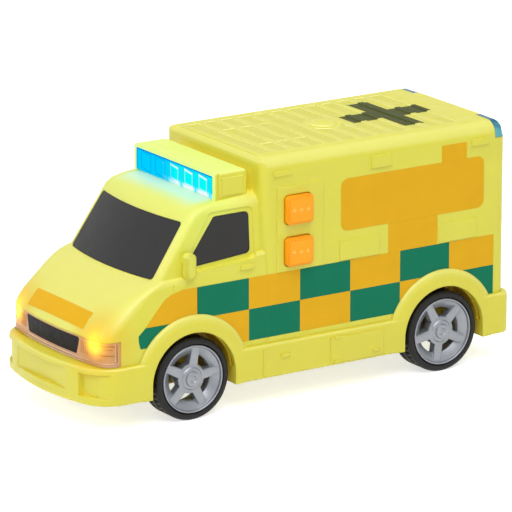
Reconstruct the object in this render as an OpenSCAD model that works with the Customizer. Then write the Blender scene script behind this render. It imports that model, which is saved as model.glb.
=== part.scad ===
// Push-along toy ambulance with lights and sounds: a moulded shell on a moulded chassis, four free
// wheels on two steel axles, two push buttons on the left side, a lit bar over the cab.
// Millimetres. Front towards -X, left side towards -Y, +Z up. The origin lies on the ground under
// the middle of the outline. Every module is drawn from the front axle's line and moved by place().

/* [Overall size] */
// Distance between the two axles
wheelbase = 108; // [104:0.5:112]
// Front axle to the foremost point of the bumper
front_overhang = 44; // [43.5:0.5:46]
// Rear axle to the back of the rear step
rear_overhang = 32.2; // [31:0.1:34]
// Ground to the top of the roof ribs
roof_z = 91; // [89:0.5:94]
// Width over the plain body sides
body_w = 65; // [64:0.5:66]
// Ground to the underside of the chassis
ground_gap = 10.6; // [10:0.1:11]
// Thickness of the moulded walls
wall = 2; // [1.8:0.1:2.2]

/* [Lower body] */
// Ground to the ledge of the sills
sill_top_z = 23.1; // [22.5:0.1:24]
// Ground to the ledge of the bumper
bumper_top_z = 24.2; // [23.4:0.1:24.5]
// Ground to the ledge behind the rear wheels
rear_top_z = 26; // [24:0.1:27]
// How far the lower body stands out from the sides
skirt_step = 2; // [1.8:0.1:2.4]
// Depth of the bumper's bow in plan
bumper_sag = 6.5; // [5:0.1:7.5]
// Corner radius of the bumper in plan
bumper_corner_r = 12.5; // [11:0.5:14]
// Depth of the rear step
step_depth = 2; // [1.6:0.1:2.4]
// Play between the shell and the lower body
shell_play = 0.15; // [0.1:0.01:0.2]
// Thickness of the chassis floor
floor_t = 2; // [1.8:0.1:2.2]

/* [Cab] */
// Nose of the cab ahead of the front axle
nose_x = 38.6; // [37.5:0.1:39]
// Front edge of the bonnet, as a share of the height from sill to roof
nose_top_share = 0.162; // [0.158:0.001:0.175]
// Radius of the bonnet's curve in side view
bonnet_r = 50; // [45:1:60]
// Foot of the windscreen ahead of the front axle
screen_foot_x = 16.4; // [15:0.1:18]
// Foot of the windscreen, as a share of the height from sill to roof
screen_foot_share = 0.4286; // [0.42:0.0002:0.44]
// Head of the windscreen ahead of the front axle
screen_head_x = 3.1; // [2:0.1:4]
// Head of the windscreen, as a share of the height from sill to roof
screen_head_share = 0.7084; // [0.695:0.0002:0.72]
// Cab roof at its front, as a share of the height from sill to roof
cab_roof_share = 0.7968; // [0.788:0.0002:0.806]
// How far the cab's upper half stands in from the body side
cab_inset = 1.7; // [1.4:0.1:2]
// Door's waist ledge at the box, as a share of the height from sill to roof
belt_share = 0.5022; // [0.495:0.0002:0.51]
// Fall of the waist ledge along the door
belt_drop = 2.4; // [1.8:0.1:2.8]
// Thickness of the window panels
pane_t = 0.8; // [0.6:0.1:1]
// Thickness of the headlamp lens
lamp_lens_t = 1.8; // [1.5:0.1:2]

/* [Box] */
// Front axle to the front of the box
box_front_x = 30; // [29.5:0.1:31]
// Radius of the long roof edges
roof_edge_r = 5.2; // [4.5:0.1:6]
// Radius of the upright corners and the cross edges
box_corner_r = 3.6; // [3:0.1:4.5]
// Spacing of the roof ribs
rib_pitch = 7.35; // [7:0.05:7.6]
// Width of one roof rib
rib_w = 2.2; // [1.8:0.1:2.6]
// Depth of the bands between the roof ribs
rib_depth = 0.35; // [0.25:0.05:0.6]
// Length of the rear corner lenses along the roof
corner_lens_len = 5.2; // [4:0.1:6]
// Thickness of the rear corner lenses
corner_lens_t = 1.6; // [1.4:0.1:1.8]

/* [Wheels] */
// Tyre diameter
wheel_d = 30.4; // [29.8:0.1:31]
// Tyre width
tyre_w = 11; // [10.5:0.1:11.4]
// Diameter of the hub's lip
rim_d = 24.8; // [24:0.1:25.4]
// Axle diameter
axle_d = 3; // [2.5:0.1:3.2]
// Radial play of an axle in the chassis
axle_play = 0.06; // [0.03:0.01:0.09]
// End play of a wheel beside the chassis
wheel_play = 0.4; // [0.3:0.05:0.5]
// Air between the tyre and the wheel arch
arch_gap = 2.2; // [2:0.1:2.6]
// Width of the arch band in side view
arch_band = 6.2; // [5.5:0.1:6.6]
// Number of hub spokes
spokes = 5; // [5:1:6]

/* [Buttons] */
// Button length along the side
button_w = 11.2; // [10.5:0.1:12]
// Button height
button_h = 10.4; // [10:0.1:11]
// Spacing of the two buttons
button_pitch = 15.4; // [15:0.1:16]
// Front axle to the middle of the buttons
button_x = 44.6; // [44:0.1:46]
// Middle between the buttons, as a share of the height from sill to roof
button_share = 0.5935; // [0.585:0.0005:0.605]
// How far a button stands out of the body side
button_stand = 2.9; // [2.4:0.1:3.2]
// Stroke of a button
button_travel = 1.5; // [1.2:0.1:1.6]
// Gap round a button
button_gap = 0.3; // [0.2:0.05:0.4]

/* [Light bar] */
// Front axle to the lens of the light bar
bar_x = 13.2; // [12.8:0.1:14]
// Length of the light bar's housing
bar_len = 13.6; // [13:0.1:14]
// How far the light bar's ends stand in from the body sides
bar_inset = 5.8; // [5.4:0.1:6.4]
// Top of the light bar, as a share of the height from sill to roof
bar_top_share = 0.9411; // [0.935:0.0005:0.95]
// Wall of the light bar's housing
bar_wall = 1.3; // [1.2:0.1:1.6]
// Thickness of the light bar's lens
bar_lens_t = 1.6; // [1.4:0.1:1.8]

/* [Electrics] */
// Diameter of a button cell
cell_d = 11.6; // [11.6:0.1:11.8]
// Thickness of a button cell
cell_h = 5.4; // [5.2:0.1:5.4]
// Play round the cells in their bay
cell_play = 0.3; // [0.2:0.05:0.4]
// Front axle to the middle of the battery bay
cell_x = 77; // [75:0.5:78]
// Speaker diameter
speaker_d = 27; // [25:0.5:28]
// Front axle to the middle of the speaker
speaker_x = 47; // [46:0.5:49]
// Thickness of the circuit boards
board_t = 1.6; // [1.2:0.1:1.8]
// Shank diameter of the screws
screw_d = 2.4; // [2.2:0.1:2.6]

/* [Hidden] */
half_w = body_w / 2;
body_h = roof_z - sill_top_z;
nose_top_z = sill_top_z + nose_top_share * body_h;
screen_foot_z = sill_top_z + screen_foot_share * body_h;
screen_head_z = sill_top_z + screen_head_share * body_h;
cab_roof_z = sill_top_z + cab_roof_share * body_h;
belt_z = sill_top_z + belt_share * body_h;
button_z = sill_top_z + button_share * body_h;
bar_top_z = sill_top_z + bar_top_share * body_h;
skirt_w = half_w + skirt_step;
axle_z = wheel_d / 2;
rear_end = wheelbase + rear_overhang;
skirt_rear = rear_end - step_depth;
body_rear = skirt_rear - 1.6;
shift_x = (front_overhang - rear_end) / 2;
base_z = ground_gap + 6;
floor_z = ground_gap + floor_t;
arch_r = wheel_d / 2 + arch_gap;
liner_t = 1.4;
liner_r = arch_r + liner_t;
flare_r = arch_r + arch_band;
wheel_y = skirt_w - 1;
well_y = wheel_y - tyre_w - 2;
nose_sag = 3.2;
nose_corner = 5.6;
shoulder_r = 3.5;
lens_low_z = bumper_top_z + 0.3;
lens_high_z = nose_top_z - 0.7;
lens_back_x = -nose_x + 9.2;
screen_rake = (screen_foot_x - screen_head_x) / (screen_head_z - screen_foot_z);
button_face = half_w + button_stand;
flange_y = half_w - wall - 0.1;
flange_t = 1;
plunger_r = 1.7;
switch_h = 3.5;
board_y = flange_y - flange_t - button_travel - switch_h - 0.2;
cell_z = ground_gap + 1.6 + cell_d / 2 + 0.1;
bay_x = cell_d / 2 + cell_play;
bay_y = 3 * cell_h / 2 + 2.3;
bay_top = cell_z + cell_d / 2 + cell_play;
cover_lo = -bay_y - 4.5;
cover_hi = bay_y + 8.5;
cover_x = bay_x + 2;
cover_screw_y = bay_y + 4.6;
pad_z = floor_z + 2;
front_post = [-23, 11];
rear_post = [body_rear - 5.8, 13];
post_r = 3.2;
post_z = base_z + 2;
head_r = 2.5;
rib_field = half_w - roof_edge_r - 2.6;
corner_lens_y = half_w - 12.5;
corner_lens_z = roof_z - 6;
lamp_y = half_w - 8.1;
lamp_z = lens_high_z - 3;
bar_half = half_w - bar_inset;
step_half = half_w - 3.5;
bar_lens_half = bar_half - 1.2;
bar_lens_top = bar_top_z - bar_wall - 0.1;
dome_x = 77;
yellow = [0.90, 0.88, 0.34];
amber = [1.00, 0.62, 0.12];
black = [0.13, 0.13, 0.13];
blue = [0.10, 0.60, 0.95];
steel = [0.75, 0.75, 0.77];
green = [0.10, 0.42, 0.25];

// Half outline in plan, left side: rear corner, nose corner, bowed front up to the middle line.
function bow_r(w, sag) = (w * w + sag * sag) / (2 * sag);
function arc_pts(c, r, a0, a1, n) =
    r < 0.01 ? [c] : [for (i = [0:n]) c + r * [cos(a0 + (a1 - a0) * i / n), sin(a0 + (a1 - a0) * i / n)]];
function half_plan(front, sag, r, w, rear, rear_r) =
    let (big = bow_r(w, sag))
    let (bx = front + big)
    let (cx = bx - sqrt(pow(big - r, 2) - pow(w - r, 2)))
    let (a = atan2(r - w, cx - bx))
    let (bow = arc_pts([bx, 0], big, a, -180, 5))
    concat(
        arc_pts([rear - rear_r, rear_r - w], rear_r, 0, -90, 5),
        arc_pts([cx, r - w], r, -90, a, 6),
        [for (i = [1:5]) bow[i]]
    );
function full_plan(front, sag, r, w, rear, rear_r) =
    let (h = half_plan(front, sag, r, w, rear, rear_r))
    concat(h, [for (i = [len(h) - 2:-1:0]) [h[i].x, -h[i].y]]);

// Solid through a stack of plan outlines; a level is [z, front, bow, corner radius, half width].
module z_loft(levels, rear, rear_r) {
    plans = [for (l = levels) full_plan(l[1], l[2], l[3], l[4], rear, rear_r)];
    n = len(plans[0]);
    m = len(levels);
    sides = [for (k = [0:m - 2]) for (i = [0:n - 1]) each [
        [k * n + i, k * n + (i + 1) % n, (k + 1) * n + (i + 1) % n],
        [k * n + i, (k + 1) * n + (i + 1) % n, (k + 1) * n + i]
    ]];
    polyhedron(
        points = [for (k = [0:m - 1]) for (p = plans[k]) [p.x, p.y, levels[k][0]]],
        faces = concat([[for (i = [n - 1:-1:0]) i]], sides, [[for (i = [0:n - 1]) (m - 1) * n + i]])
    );
}

// Prisms along X and Y from flat shapes drawn in the side planes.
module prism_x(x0, x1) {
    translate([x0, 0, 0]) rotate([90, 0, 90]) linear_extrude(x1 - x0) children();
}
module prism_y(y0, y1) {
    translate([0, y1, 0]) rotate([90, 0, 0]) linear_extrude(y1 - y0) children();
}
module block(x0, x1, y0, y1, z0, z1) {
    translate([x0, y0, z0]) cube([x1 - x0, y1 - y0, z1 - z0]);
}
module both_sides() {
    children();
    mirror([0, 1, 0]) children();
}
module place() {
    translate([shift_x, 0, 0]) children();
}

// Rounded rectangles from squares and circles.
module round_rect(x0, y0, x1, y1, r) {
    translate([x0 + r, y0]) square([x1 - x0 - 2 * r, y1 - y0]);
    translate([x0, y0 + r]) square([x1 - x0, y1 - y0 - 2 * r]);
    for (x = [x0 + r, x1 - r])
        for (y = [y0 + r, y1 - r])
            translate([x, y]) circle(r, $fn = 48);
}
module arch_rect(x0, y0, x1, y1, r) {
    translate([x0, y0]) square([x1 - x0, y1 - y0 - r]);
    translate([x0 + r, y0]) square([x1 - x0 - 2 * r, y1 - y0]);
    for (x = [x0 + r, x1 - r])
        translate([x, y1 - r]) circle(r, $fn = 48);
}
function turn(u, v) = (atan2(v.y, v.x) - atan2(u.y, u.x) + 540) % 360 - 180;
function round_corner(p, q, s, r) =
    let (c = corner_in(p, q, s, r))
    let (u = foot_on(p, q, c) - c)
    let (a = atan2(u.y, u.x))
    arc_pts(c, r, a, a + turn(u, foot_on(q, s, c) - c), 6);
module round_poly(pts, r) {
    n = len(pts);
    polygon([for (i = [0:n - 1]) each round_corner(pts[(i + n - 1) % n], pts[i], pts[(i + 1) % n], r)]);
}
function unit(v) = v / norm(v);
function corner_in(p, q, s, r) =
    let (u = unit(p - q))
    let (v = unit(s - q))
    let (half = acos(u * v) / 2)
    q + unit(u + v) * r / sin(half);
function foot_on(p, q, c) =
    let (u = unit(q - p))
    p + u * ((c - p) * u);

// Cab below the waist: upright bowed nose, then the bonnet's arc with rounded shoulders.
nose_p = [-nose_x, nose_top_z];
foot_p = [-screen_foot_x, screen_foot_z - 0.6];
bonnet_mid = (nose_p + foot_p) / 2;
bonnet_half = norm(foot_p - nose_p) / 2;
bonnet_dir = unit(foot_p - nose_p);
bonnet_drop = sqrt(bonnet_r * bonnet_r - bonnet_half * bonnet_half);
bonnet_c = bonnet_mid + bonnet_drop * [bonnet_dir.y, -bonnet_dir.x];
bonnet_a0 = atan2(nose_p.y - bonnet_c.y, nose_p.x - bonnet_c.x);
bonnet_a1 = acos((-screen_foot_x + 4 - bonnet_c.x) / bonnet_r);
shoulder_top = bonnet_c.y + bonnet_r * sin(bonnet_a1);
function shoulder_in(z, top) =
    let (u = min(1, max(0, (z - top + shoulder_r) / shoulder_r)))
    0.85 * shoulder_r * (1 - sqrt(1 - u * u));
function nose_bow(z) = max(1.6, nose_sag - max(0, z - nose_top_z) * 0.35);
function nose_r(z) =
    let (u = min(1, max(0, (z - nose_top_z) / (shoulder_top - nose_top_z))))
    nose_corner - 2.4 * u + 3.4 * pow(4 * u * (1 - u), 2);
function bonnet_level(a, t) =
    let (z = bonnet_c.y + (bonnet_r - t) * sin(a))
    let (w = half_w - t - shoulder_in(z, shoulder_top - t))
    [z, bonnet_c.x + (bonnet_r - t) * cos(a), nose_bow(z + t), nose_r(z + t) - t / 2, w];
function lower_levels(t, z0) =
    let (first = bonnet_level(bonnet_a0, t))
    concat(
        [[z0, first[1], nose_sag, first[3], half_w - t]],
        [for (i = [0:10]) bonnet_level(bonnet_a0 + (bonnet_a1 - bonnet_a0) * i / 10, t)]
    );
module lower_cab(t, z0 = base_z) {
    z_loft(lower_levels(t, z0), box_front_x + 2, 0);
}

// Cab above the waist: raked bowed windscreen, rounded brow, roof rising to the box.
upper_w = half_w - cab_inset;
upper_low_z = screen_foot_z - 6;
function upper_level(z, front, sag, r, w, t) = [z, front, sag, r, w - t];
function upper_levels(t) =
    let (in = t * sqrt(1 + screen_rake * screen_rake))
    let (head = -screen_head_x)
    [
        upper_level(upper_low_z, -screen_foot_x - 6 * screen_rake + in, 3.8, 3.2, upper_w, t),
        upper_level(screen_head_z, head + in, 3.6, 3.6, upper_w - 0.9, t),
        upper_level(screen_head_z + 2.2 - 0.3 * t, head + 1.35 + in, 3.5, 3.8, upper_w - 1.1, t),
        upper_level(screen_head_z + 3.8 - 0.6 * t, head + 3.3 + in, 3.3, 4.4, upper_w - 1.5, t),
        upper_level(screen_head_z + 5 - 0.8 * t, head + 6.5 + in, 3, 5.2, upper_w - 2.2, t),
        upper_level(cab_roof_z - 0.3 - t, head + 11 + in, 2.7, 6, upper_w - 2.9, t),
        upper_level(cab_roof_z - t, head + 16 + in, 2.2, 6, upper_w - 3.4, t),
        upper_level(cab_roof_z + 1.1 - t, box_front_x - 1, 0.5, 1, upper_w - 5, t)
    ];
module upper_cab(t) {
    z_loft(upper_levels(t), box_front_x + 2, 0);
}
module door_block() {
    fall = atan(belt_drop / (box_front_x + 1.6));
    translate([-1.6, 0, belt_z - belt_drop]) rotate([0, -fall, 0])
        prism_x(0, box_front_x + 2.8) arch_rect(-half_w, shoulder_top - 8 - belt_z, half_w, 0, 1.4);
}

// Box behind the cab: rounded on the long edges, the cross edges and the upright corners.
module box_form(t, z0 = base_z) {
    intersection() {
        prism_x(box_front_x + t, body_rear - t)
            arch_rect(t - half_w, z0, half_w - t, roof_z - t, roof_edge_r - t);
        prism_y(-half_w, half_w)
            arch_rect(box_front_x + t, z0, body_rear - t, roof_z - t, box_corner_r - t / 2);
        translate([0, 0, z0 - 1]) linear_extrude(roof_z)
            round_rect(box_front_x + t, t - half_w, body_rear - t, half_w - t, box_corner_r - t / 2);
    }
}

// Outlines of the panes and lenses set into the shell.
module screen_shape(gap) {
    low = screen_foot_z + 0.1 - gap;
    foot = upper_w - 3.4;
    head = upper_w - 4.2;
    top = screen_head_z + gap;
    prism_x(-screen_foot_x - 8, 12)
        round_poly([[-foot - gap, low], [foot + gap, low], [head + gap, top], [-head - gap, top]], 1.3);
}
module door_shape(grow) {
    low = belt_z - grow;
    fore = low - belt_drop + 0.3;
    top = screen_head_z + 1 + grow;
    prism_y(-half_w - 1, -upper_w + 8)
        round_poly(
            [[-1.4 - 1.5 * grow, fore], [26 + grow, low], [25.7 + grow, top], [11.2 - grow, top]],
            1.7
        );
}
module lens_zone(gap) {
    block(-nose_x - 2, lens_back_x + gap, -half_w, half_w, lens_low_z - gap, lens_high_z + gap);
}
module grille_shape(gap) {
    low = lens_low_z + 2.3 - gap;
    foot = half_w - 16.1 + gap;
    head = half_w - 14.4 + gap;
    top = lens_high_z - 0.4 + gap;
    prism_x(-nose_x - 2, -nose_x + 8)
        round_poly([[-foot, low], [foot, low], [head, top], [-head, top]], 0.8);
}
module rear_pane_shape(gap) {
    both_sides()
        prism_x(body_rear - 2, body_rear + 1)
            round_rect(4.5 - gap, roof_z - 33 - gap, half_w - 9.5 + gap, roof_z - 14 + gap, 2.5);
}
module corner_zone(gap) {
    block(body_rear - corner_lens_len - gap, body_rear + 1, -half_w - 1, -corner_lens_y + gap,
        corner_lens_z - gap, roof_z + 1);
}
module button_shape(z, grow, y0, y1) {
    prism_y(y0, y1)
        round_rect(button_x - button_w / 2 - grow, z - button_h / 2 - grow, button_x + button_w / 2 + grow,
            z + button_h / 2 + grow, 1.6 + grow);
}
button_zs = [button_z + button_pitch / 2, button_z - button_pitch / 2];

// Moulded figures on the sides, the roof and the back.
module side_figures() {
    block(button_x - 8.8, button_x + 11, -half_w - 0.45, -half_w + 0.5, button_z - 14.8, button_z + 16.6);
    block(62.8, 80.2, -half_w - 0.4, -half_w + 0.5, 48.9, 56.2);
    block(body_rear - 30.2, body_rear - 13.2, -half_w - 0.4, -half_w + 0.5, 48.9, 56.2);
    block(34.3, 42, -half_w - 0.7, -half_w + 0.5, roof_z - 7, roof_z - 5.4);
    block(76.3, 85, -half_w - 0.7, -half_w + 0.5, roof_z - 9.8, roof_z - 5.4);
    block(body_rear - 16, body_rear - 8.4, -half_w - 0.7, -half_w + 0.5, roof_z - 7.8, roof_z - 5.6);
    block(20.3, 26.2, -half_w - 0.8, -half_w + 0.5, belt_z - 5.2, belt_z - 3.8);
}
module mirror_lobe() {
    translate([-0.9, -half_w, belt_z - 0.6]) {
        prism_y(-1.2, 1) round_rect(-2.2, -4.8, 2.2, 4.8, 2);
        prism_y(-1.55, 1) round_rect(-2, -4.6, 2, 4.6, 1.8);
        prism_y(-1.85, 1) round_rect(-1.7, -4.3, 1.7, 4.3, 1.5);
        prism_y(-2.05, 1) round_rect(-1.25, -3.85, 1.25, 3.85, 1.05);
    }
}
module roof_bands() {
    first = 40.3;
    low = roof_z - rib_depth;
    bands = floor((body_rear - 45) / rib_pitch);
    difference() {
        for (i = [0:bands - 1])
            block(first + (i - 1) * rib_pitch + rib_w / 2, first + i * rib_pitch - rib_w / 2,
                -rib_field, rib_field, low, roof_z + 1);
        difference() {
            block(38.6, 62.8, -12.8, 12.8, low - 1, roof_z + 2);
            block(39.8, 61.6, -11.6, 11.6, low - 2, roof_z + 3);
        }
        translate([dome_x, 0, low - 1]) cylinder(r = 7.4, h = 4, $fn = 64);
    }
}
module rear_figures() {
    both_sides() {
        block(body_rear - 0.5, body_rear + 0.4, 0.6, half_w - 5, 30, roof_z - 6.5);
        block(body_rear - 0.5, body_rear + 1.1, 3, 9.5, 48, 49.6);
        for (z = [38, roof_z - 37, roof_z - 17])
            translate([body_rear, half_w - 4.3, z]) cylinder(r = 1, h = 5, $fn = 24);
    }
}

// One-piece upper shell.
module body_shell() {
    color(yellow) difference() {
        union() {
            difference() {
                union() {
                    lower_cab(0);
                    upper_cab(0);
                    door_block();
                    box_form(0);
                }
                difference() {
                    lower_cab(wall, base_z - 1);
                    block(-nose_x, lens_back_x + 3, -half_w, half_w, base_z - 2, nose_top_z + 1);
                }
                lower_cab(wall + lamp_lens_t, base_z - 1);
                upper_cab(wall);
                difference() {
                    box_form(wall, base_z - 1);
                    both_sides() corner_zone(1.4);
                }
            }
            both_sides() side_figures();
            both_sides() mirror_lobe();
            rear_figures();
            translate([dome_x, 0, roof_z - 1]) cylinder(r = 5, h = 1.5, $fn = 64);
            translate([dome_x, 0, roof_z + 0.4]) cylinder(r1 = 4.6, r2 = 3, h = 0.5, $fn = 64);
            intersection() {
                both_sides() {
                    translate([front_post.x, front_post.y, post_z])
                        cylinder(r = post_r, h = roof_z, $fn = 32);
                    translate([rear_post.x, rear_post.y, post_z])
                        cylinder(r = post_r, h = roof_z, $fn = 32);
                }
                union() {
                    lower_cab(0.5, base_z);
                    box_form(0.5);
                }
            }
            for (x = [button_x - 8.8, button_x + 8.8])
                translate([x, 0, button_z]) rotate([90, 0, 0])
                    translate([0, 0, board_y]) cylinder(r = 2.4, h = half_w - 0.5 - board_y, $fn = 32);
        }
        difference() {
            screen_shape(0.1);
            upper_cab(pane_t);
        }
        both_sides() difference() {
            door_shape(0.1);
            upper_cab(pane_t);
        }
        both_sides() difference() {
            door_shape(1.7);
            upper_cab(0.4);
        }
        difference() {
            lens_zone(0.1);
            lower_cab(lamp_lens_t);
        }
        both_sides() translate([lens_back_x - 9, -lamp_y, lamp_z]) rotate([0, 90, 0])
            cylinder(d = 5.1, h = 14, $fn = 32);
        both_sides() difference() {
            corner_zone(0.1);
            box_form(corner_lens_t);
        }
        rear_pane_cut();
        roof_bands();
        for (x = [0, wheelbase])
            translate([x, 0, axle_z]) rotate([90, 0, 0])
                cylinder(r = liner_r + 0.4, h = body_w + 10, center = true, $fn = 96);
        for (z = button_zs)
            button_shape(z, button_gap, -half_w - 2, -half_w + wall + 1);
        both_sides() {
            translate([front_post.x, front_post.y, 0]) cylinder(d = screw_d, h = post_z + 9, $fn = 24);
            translate([rear_post.x, rear_post.y, 0]) cylinder(d = screw_d, h = post_z + 9, $fn = 24);
        }
        for (x = [button_x - 8.8, button_x + 8.8])
            translate([x, -board_y + 1, button_z]) rotate([90, 0, 0]) cylinder(d = 1.8, h = 5, $fn = 24);
        translate([bar_x + 8.4, 0, cab_roof_z - 4]) cylinder(r = 2, h = 6, $fn = 32);
        both_sides() block(-7.6, -6.9, -half_w - 1, -half_w + 0.35, belt_z - 8.8, belt_z - 4.6);
    }
}
module rear_pane_cut() {
    difference() {
        rear_pane_shape(0.1);
        block(body_rear - 6, body_rear + 0.4 - pane_t, -half_w, half_w, roof_z - 40, roof_z - 6);
    }
}

// Lower moulding: floor, sills, bumper, arches, wheel wells, axle bearings, battery bay, speaker seat.
function skirt_level(z, in) = [z, -front_overhang + in, bumper_sag, bumper_corner_r - in, skirt_w - in];
module skirt_band(top, x0, x1) {
    intersection() {
        z_loft([
            skirt_level(ground_gap, 0.6),
            skirt_level(ground_gap + 0.6, 0),
            skirt_level(top - 1.3, 0),
            skirt_level(top - 0.6, 0.2),
            skirt_level(top - 0.15, 0.65),
            skirt_level(top, 1.3)
        ], skirt_rear, 4);
        block(x0, x1, -skirt_w - 2, skirt_w + 2, 0, top + 5);
    }
}
module plan_prism(t, z0, z1) {
    translate([0, 0, z0]) linear_extrude(z1 - z0)
        polygon(full_plan(bonnet_level(bonnet_a0, t)[1], nose_sag, nose_corner - t / 2, half_w - t,
            body_rear - t, box_corner_r - t / 2));
}
module flare() {
    lift = skirt_w - half_w - shell_play;
    edge = [for (i = [0:7])
        [flare_r - 4.4 * (1 - sin(90 * i / 7)), half_w + shell_play + lift * cos(90 * i / 7)]];
    rotate([90, 0, 0]) rotate_extrude($fn = 96)
        polygon(concat([[arch_r, half_w - 6], [arch_r, skirt_w]], edge, [[liner_r, half_w + shell_play],
            [liner_r, half_w - 6]]));
}
module well_outside() {
    rotate([90, 0, 0]) translate([0, 0, well_y - 1.6]) cylinder(r = liner_r, h = half_w - well_y, $fn = 96);
}
module well_inside() {
    rotate([90, 0, 0]) translate([0, 0, well_y]) cylinder(r = arch_r, h = skirt_w - well_y + 3, $fn = 96);
    block(-arch_r, arch_r, -skirt_w - 3, -well_y, -axle_z, 0);
}
module at_wheels() {
    for (x = [0, wheelbase])
        translate([x, 0, axle_z]) both_sides() children();
}
module chassis() {
    color(yellow) difference() {
        union() {
            difference() {
                union() {
                    skirt_band(bumper_top_z, -front_overhang - 1, 0);
                    skirt_band(sill_top_z, 0, wheelbase);
                    skirt_band(rear_top_z, wheelbase, skirt_rear + 1);
                    intersection() {
                        at_wheels() flare();
                        block(-front_overhang, rear_end, -skirt_w - 1, skirt_w + 1, ground_gap, 60);
                    }
                    block(skirt_rear - 1, rear_end, -step_half, step_half,
                        ground_gap + 4.4, ground_gap + 11);
                    both_sides() sill_figures();
                }
                plan_prism(-shell_play, base_z, rear_top_z + 30);
                plan_prism(wall, floor_z, base_z + 1);
                bumper_recesses();
            }
            intersection() {
                at_wheels() well_outside();
                block(-front_overhang, rear_end, -skirt_w, skirt_w, ground_gap, 60);
            }
            intersection() {
                at_wheels() rotate([90, 0, 0]) translate([0, 0, well_y - 7])
                    cylinder(r = 3.8, h = 7, $fn = 48);
                block(-front_overhang, rear_end, -skirt_w, skirt_w, ground_gap, 60);
            }
            both_sides() {
                translate([front_post.x, front_post.y, ground_gap])
                    cylinder(r = 4.4, h = post_z - ground_gap, $fn = 48);
                translate([rear_post.x, rear_post.y, ground_gap])
                    cylinder(r = 4.4, h = post_z - ground_gap, $fn = 48);
            }
            translate([speaker_x, 0, floor_z - 0.5]) cylinder(d = speaker_d + 3, h = 3.5, $fn = 64);
            block(
                cell_x - cover_x - 2, cell_x + cover_x + 2,
                cover_lo - 2, cover_hi + 2,
                floor_z - 0.5, pad_z
            );
            block(
                cell_x - bay_x - 1.6, cell_x + bay_x + 1.6,
                -bay_y - 1.6, bay_y + 1.6,
                floor_z, bay_top + 1.6
            );
            translate([cell_x, cover_screw_y, floor_z]) cylinder(r = 3.4, h = 10, $fn = 32);
        }
        at_wheels() well_inside();
        for (x = [0, wheelbase])
            translate([x, 0, axle_z]) rotate([90, 0, 0])
                cylinder(d = axle_d + 2 * axle_play, h = 2 * well_y + 4, center = true, $fn = 48);
        for (x = [0, wheelbase])
            translate([x, 0, axle_z]) block(-4.4, 4.4, 7 - well_y, well_y - 7, floor_z - axle_z, 20);
        both_sides() {
            post_holes(front_post);
            post_holes(rear_post);
        }
        translate([speaker_x, 0, floor_z]) cylinder(d = speaker_d + 0.2, h = 8, $fn = 64);
        for (q = [0:2])
            for (i = [0:max(0, 6 * q - 1)])
                translate([speaker_x, 0, 0]) rotate(360 * i / max(1, 6 * q))
                    translate([4 * q, 0, ground_gap - 1]) cylinder(d = 1.8, h = floor_t + 4, $fn = 24);
        block(cell_x - bay_x, cell_x + bay_x, -bay_y, bay_y, ground_gap - 1, bay_top);
        block(cell_x - cover_x - 0.15, cell_x + cover_x + 0.15, cover_lo - 0.15, cover_hi + 0.15,
            ground_gap - 1, ground_gap + 1.6);
        translate([cell_x, cover_screw_y, ground_gap]) cylinder(r = 3.3, h = 3.2, $fn = 32);
        translate([cell_x, cover_screw_y, ground_gap]) cylinder(d = screw_d, h = 9, $fn = 24);
    }
}
module post_holes(p) {
    translate([p.x, p.y, 0]) cylinder(d = screw_d + 0.4, h = 30, $fn = 24);
    translate([p.x, p.y, 0]) cylinder(r = head_r + 0.2, h = ground_gap + 4, $fn = 32);
}
module bumper_recesses() {
    low = ground_gap + 3;
    plate = skirt_w - 17.9;
    lamp = skirt_w - 11.7;
    fore = -front_overhang - 1;
    turned = [[5.8, 0], [7.9, 7.6], [11, 10.4], [0, 10.4], [0, 0]];
    block(fore, -front_overhang + 1.6, -plate, plate, low + 1, bumper_top_z - 2);
    both_sides() translate([0, 0, low]) linear_extrude(bumper_top_z - 2.2 - low)
        polygon([for (p = turned) [fore + p.x, -lamp - p.y]]);
}
module sill_figures() {
    block(57.8, 81, -skirt_w - 0.4, -skirt_w + 0.5, ground_gap + 1, sill_top_z - 2);
    block(36.4, 40.2, -skirt_w - 0.6, -skirt_w + 0.5, ground_gap + 6.8, ground_gap + 8.2);
    block(29, 30, -skirt_w - 0.4, -skirt_w + 0.5, ground_gap + 1, sill_top_z - 1.4);
    for (p = [[59.2, sill_top_z - 2.6], [59.2, ground_gap + 0.8], [75.8, ground_gap + 2.6]])
        block(p.x, p.x + 3, -skirt_w - 0.8, -skirt_w + 0.5, p.y, p.y + 1.2);
}

// Lit bar over the cab.
module light_bar_housing() {
    back = bar_x + bar_len;
    color(yellow) difference() {
        union() {
            intersection() {
                prism_x(bar_x, back) arch_rect(-bar_half, cab_roof_z - 3, bar_half, bar_top_z, 1.2);
                prism_y(-bar_half, bar_half) arch_rect(bar_x - 2, cab_roof_z - 3, back, bar_top_z, 1.2);
            }
            both_sides() block(bar_x + 3.2, back - 1.6, -bar_half - 0.45, -bar_half + 0.5,
                cab_roof_z + 1.2, bar_top_z - 2.2);
        }
        upper_cab(0);
        block(bar_x - 1, back - bar_wall, -bar_half + bar_wall, bar_half - bar_wall,
            cab_roof_z - 4, bar_top_z - bar_wall);
        block(bar_x - 1, bar_x + bar_lens_t + 0.2, -bar_lens_half - 0.1, bar_lens_half + 0.1,
            cab_roof_z - 4, bar_top_z - bar_wall);
        both_sides() block(
            bar_x + 1.5, bar_x + 2.1,
            -bar_half - 1, -bar_half + 0.35,
            cab_roof_z - 4, bar_top_z + 1
        );
    }
}
block_pitch = 0.3725 * bar_lens_half;
bar_blocks = [for (i = [-2:2]) i * block_pitch];
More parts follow.
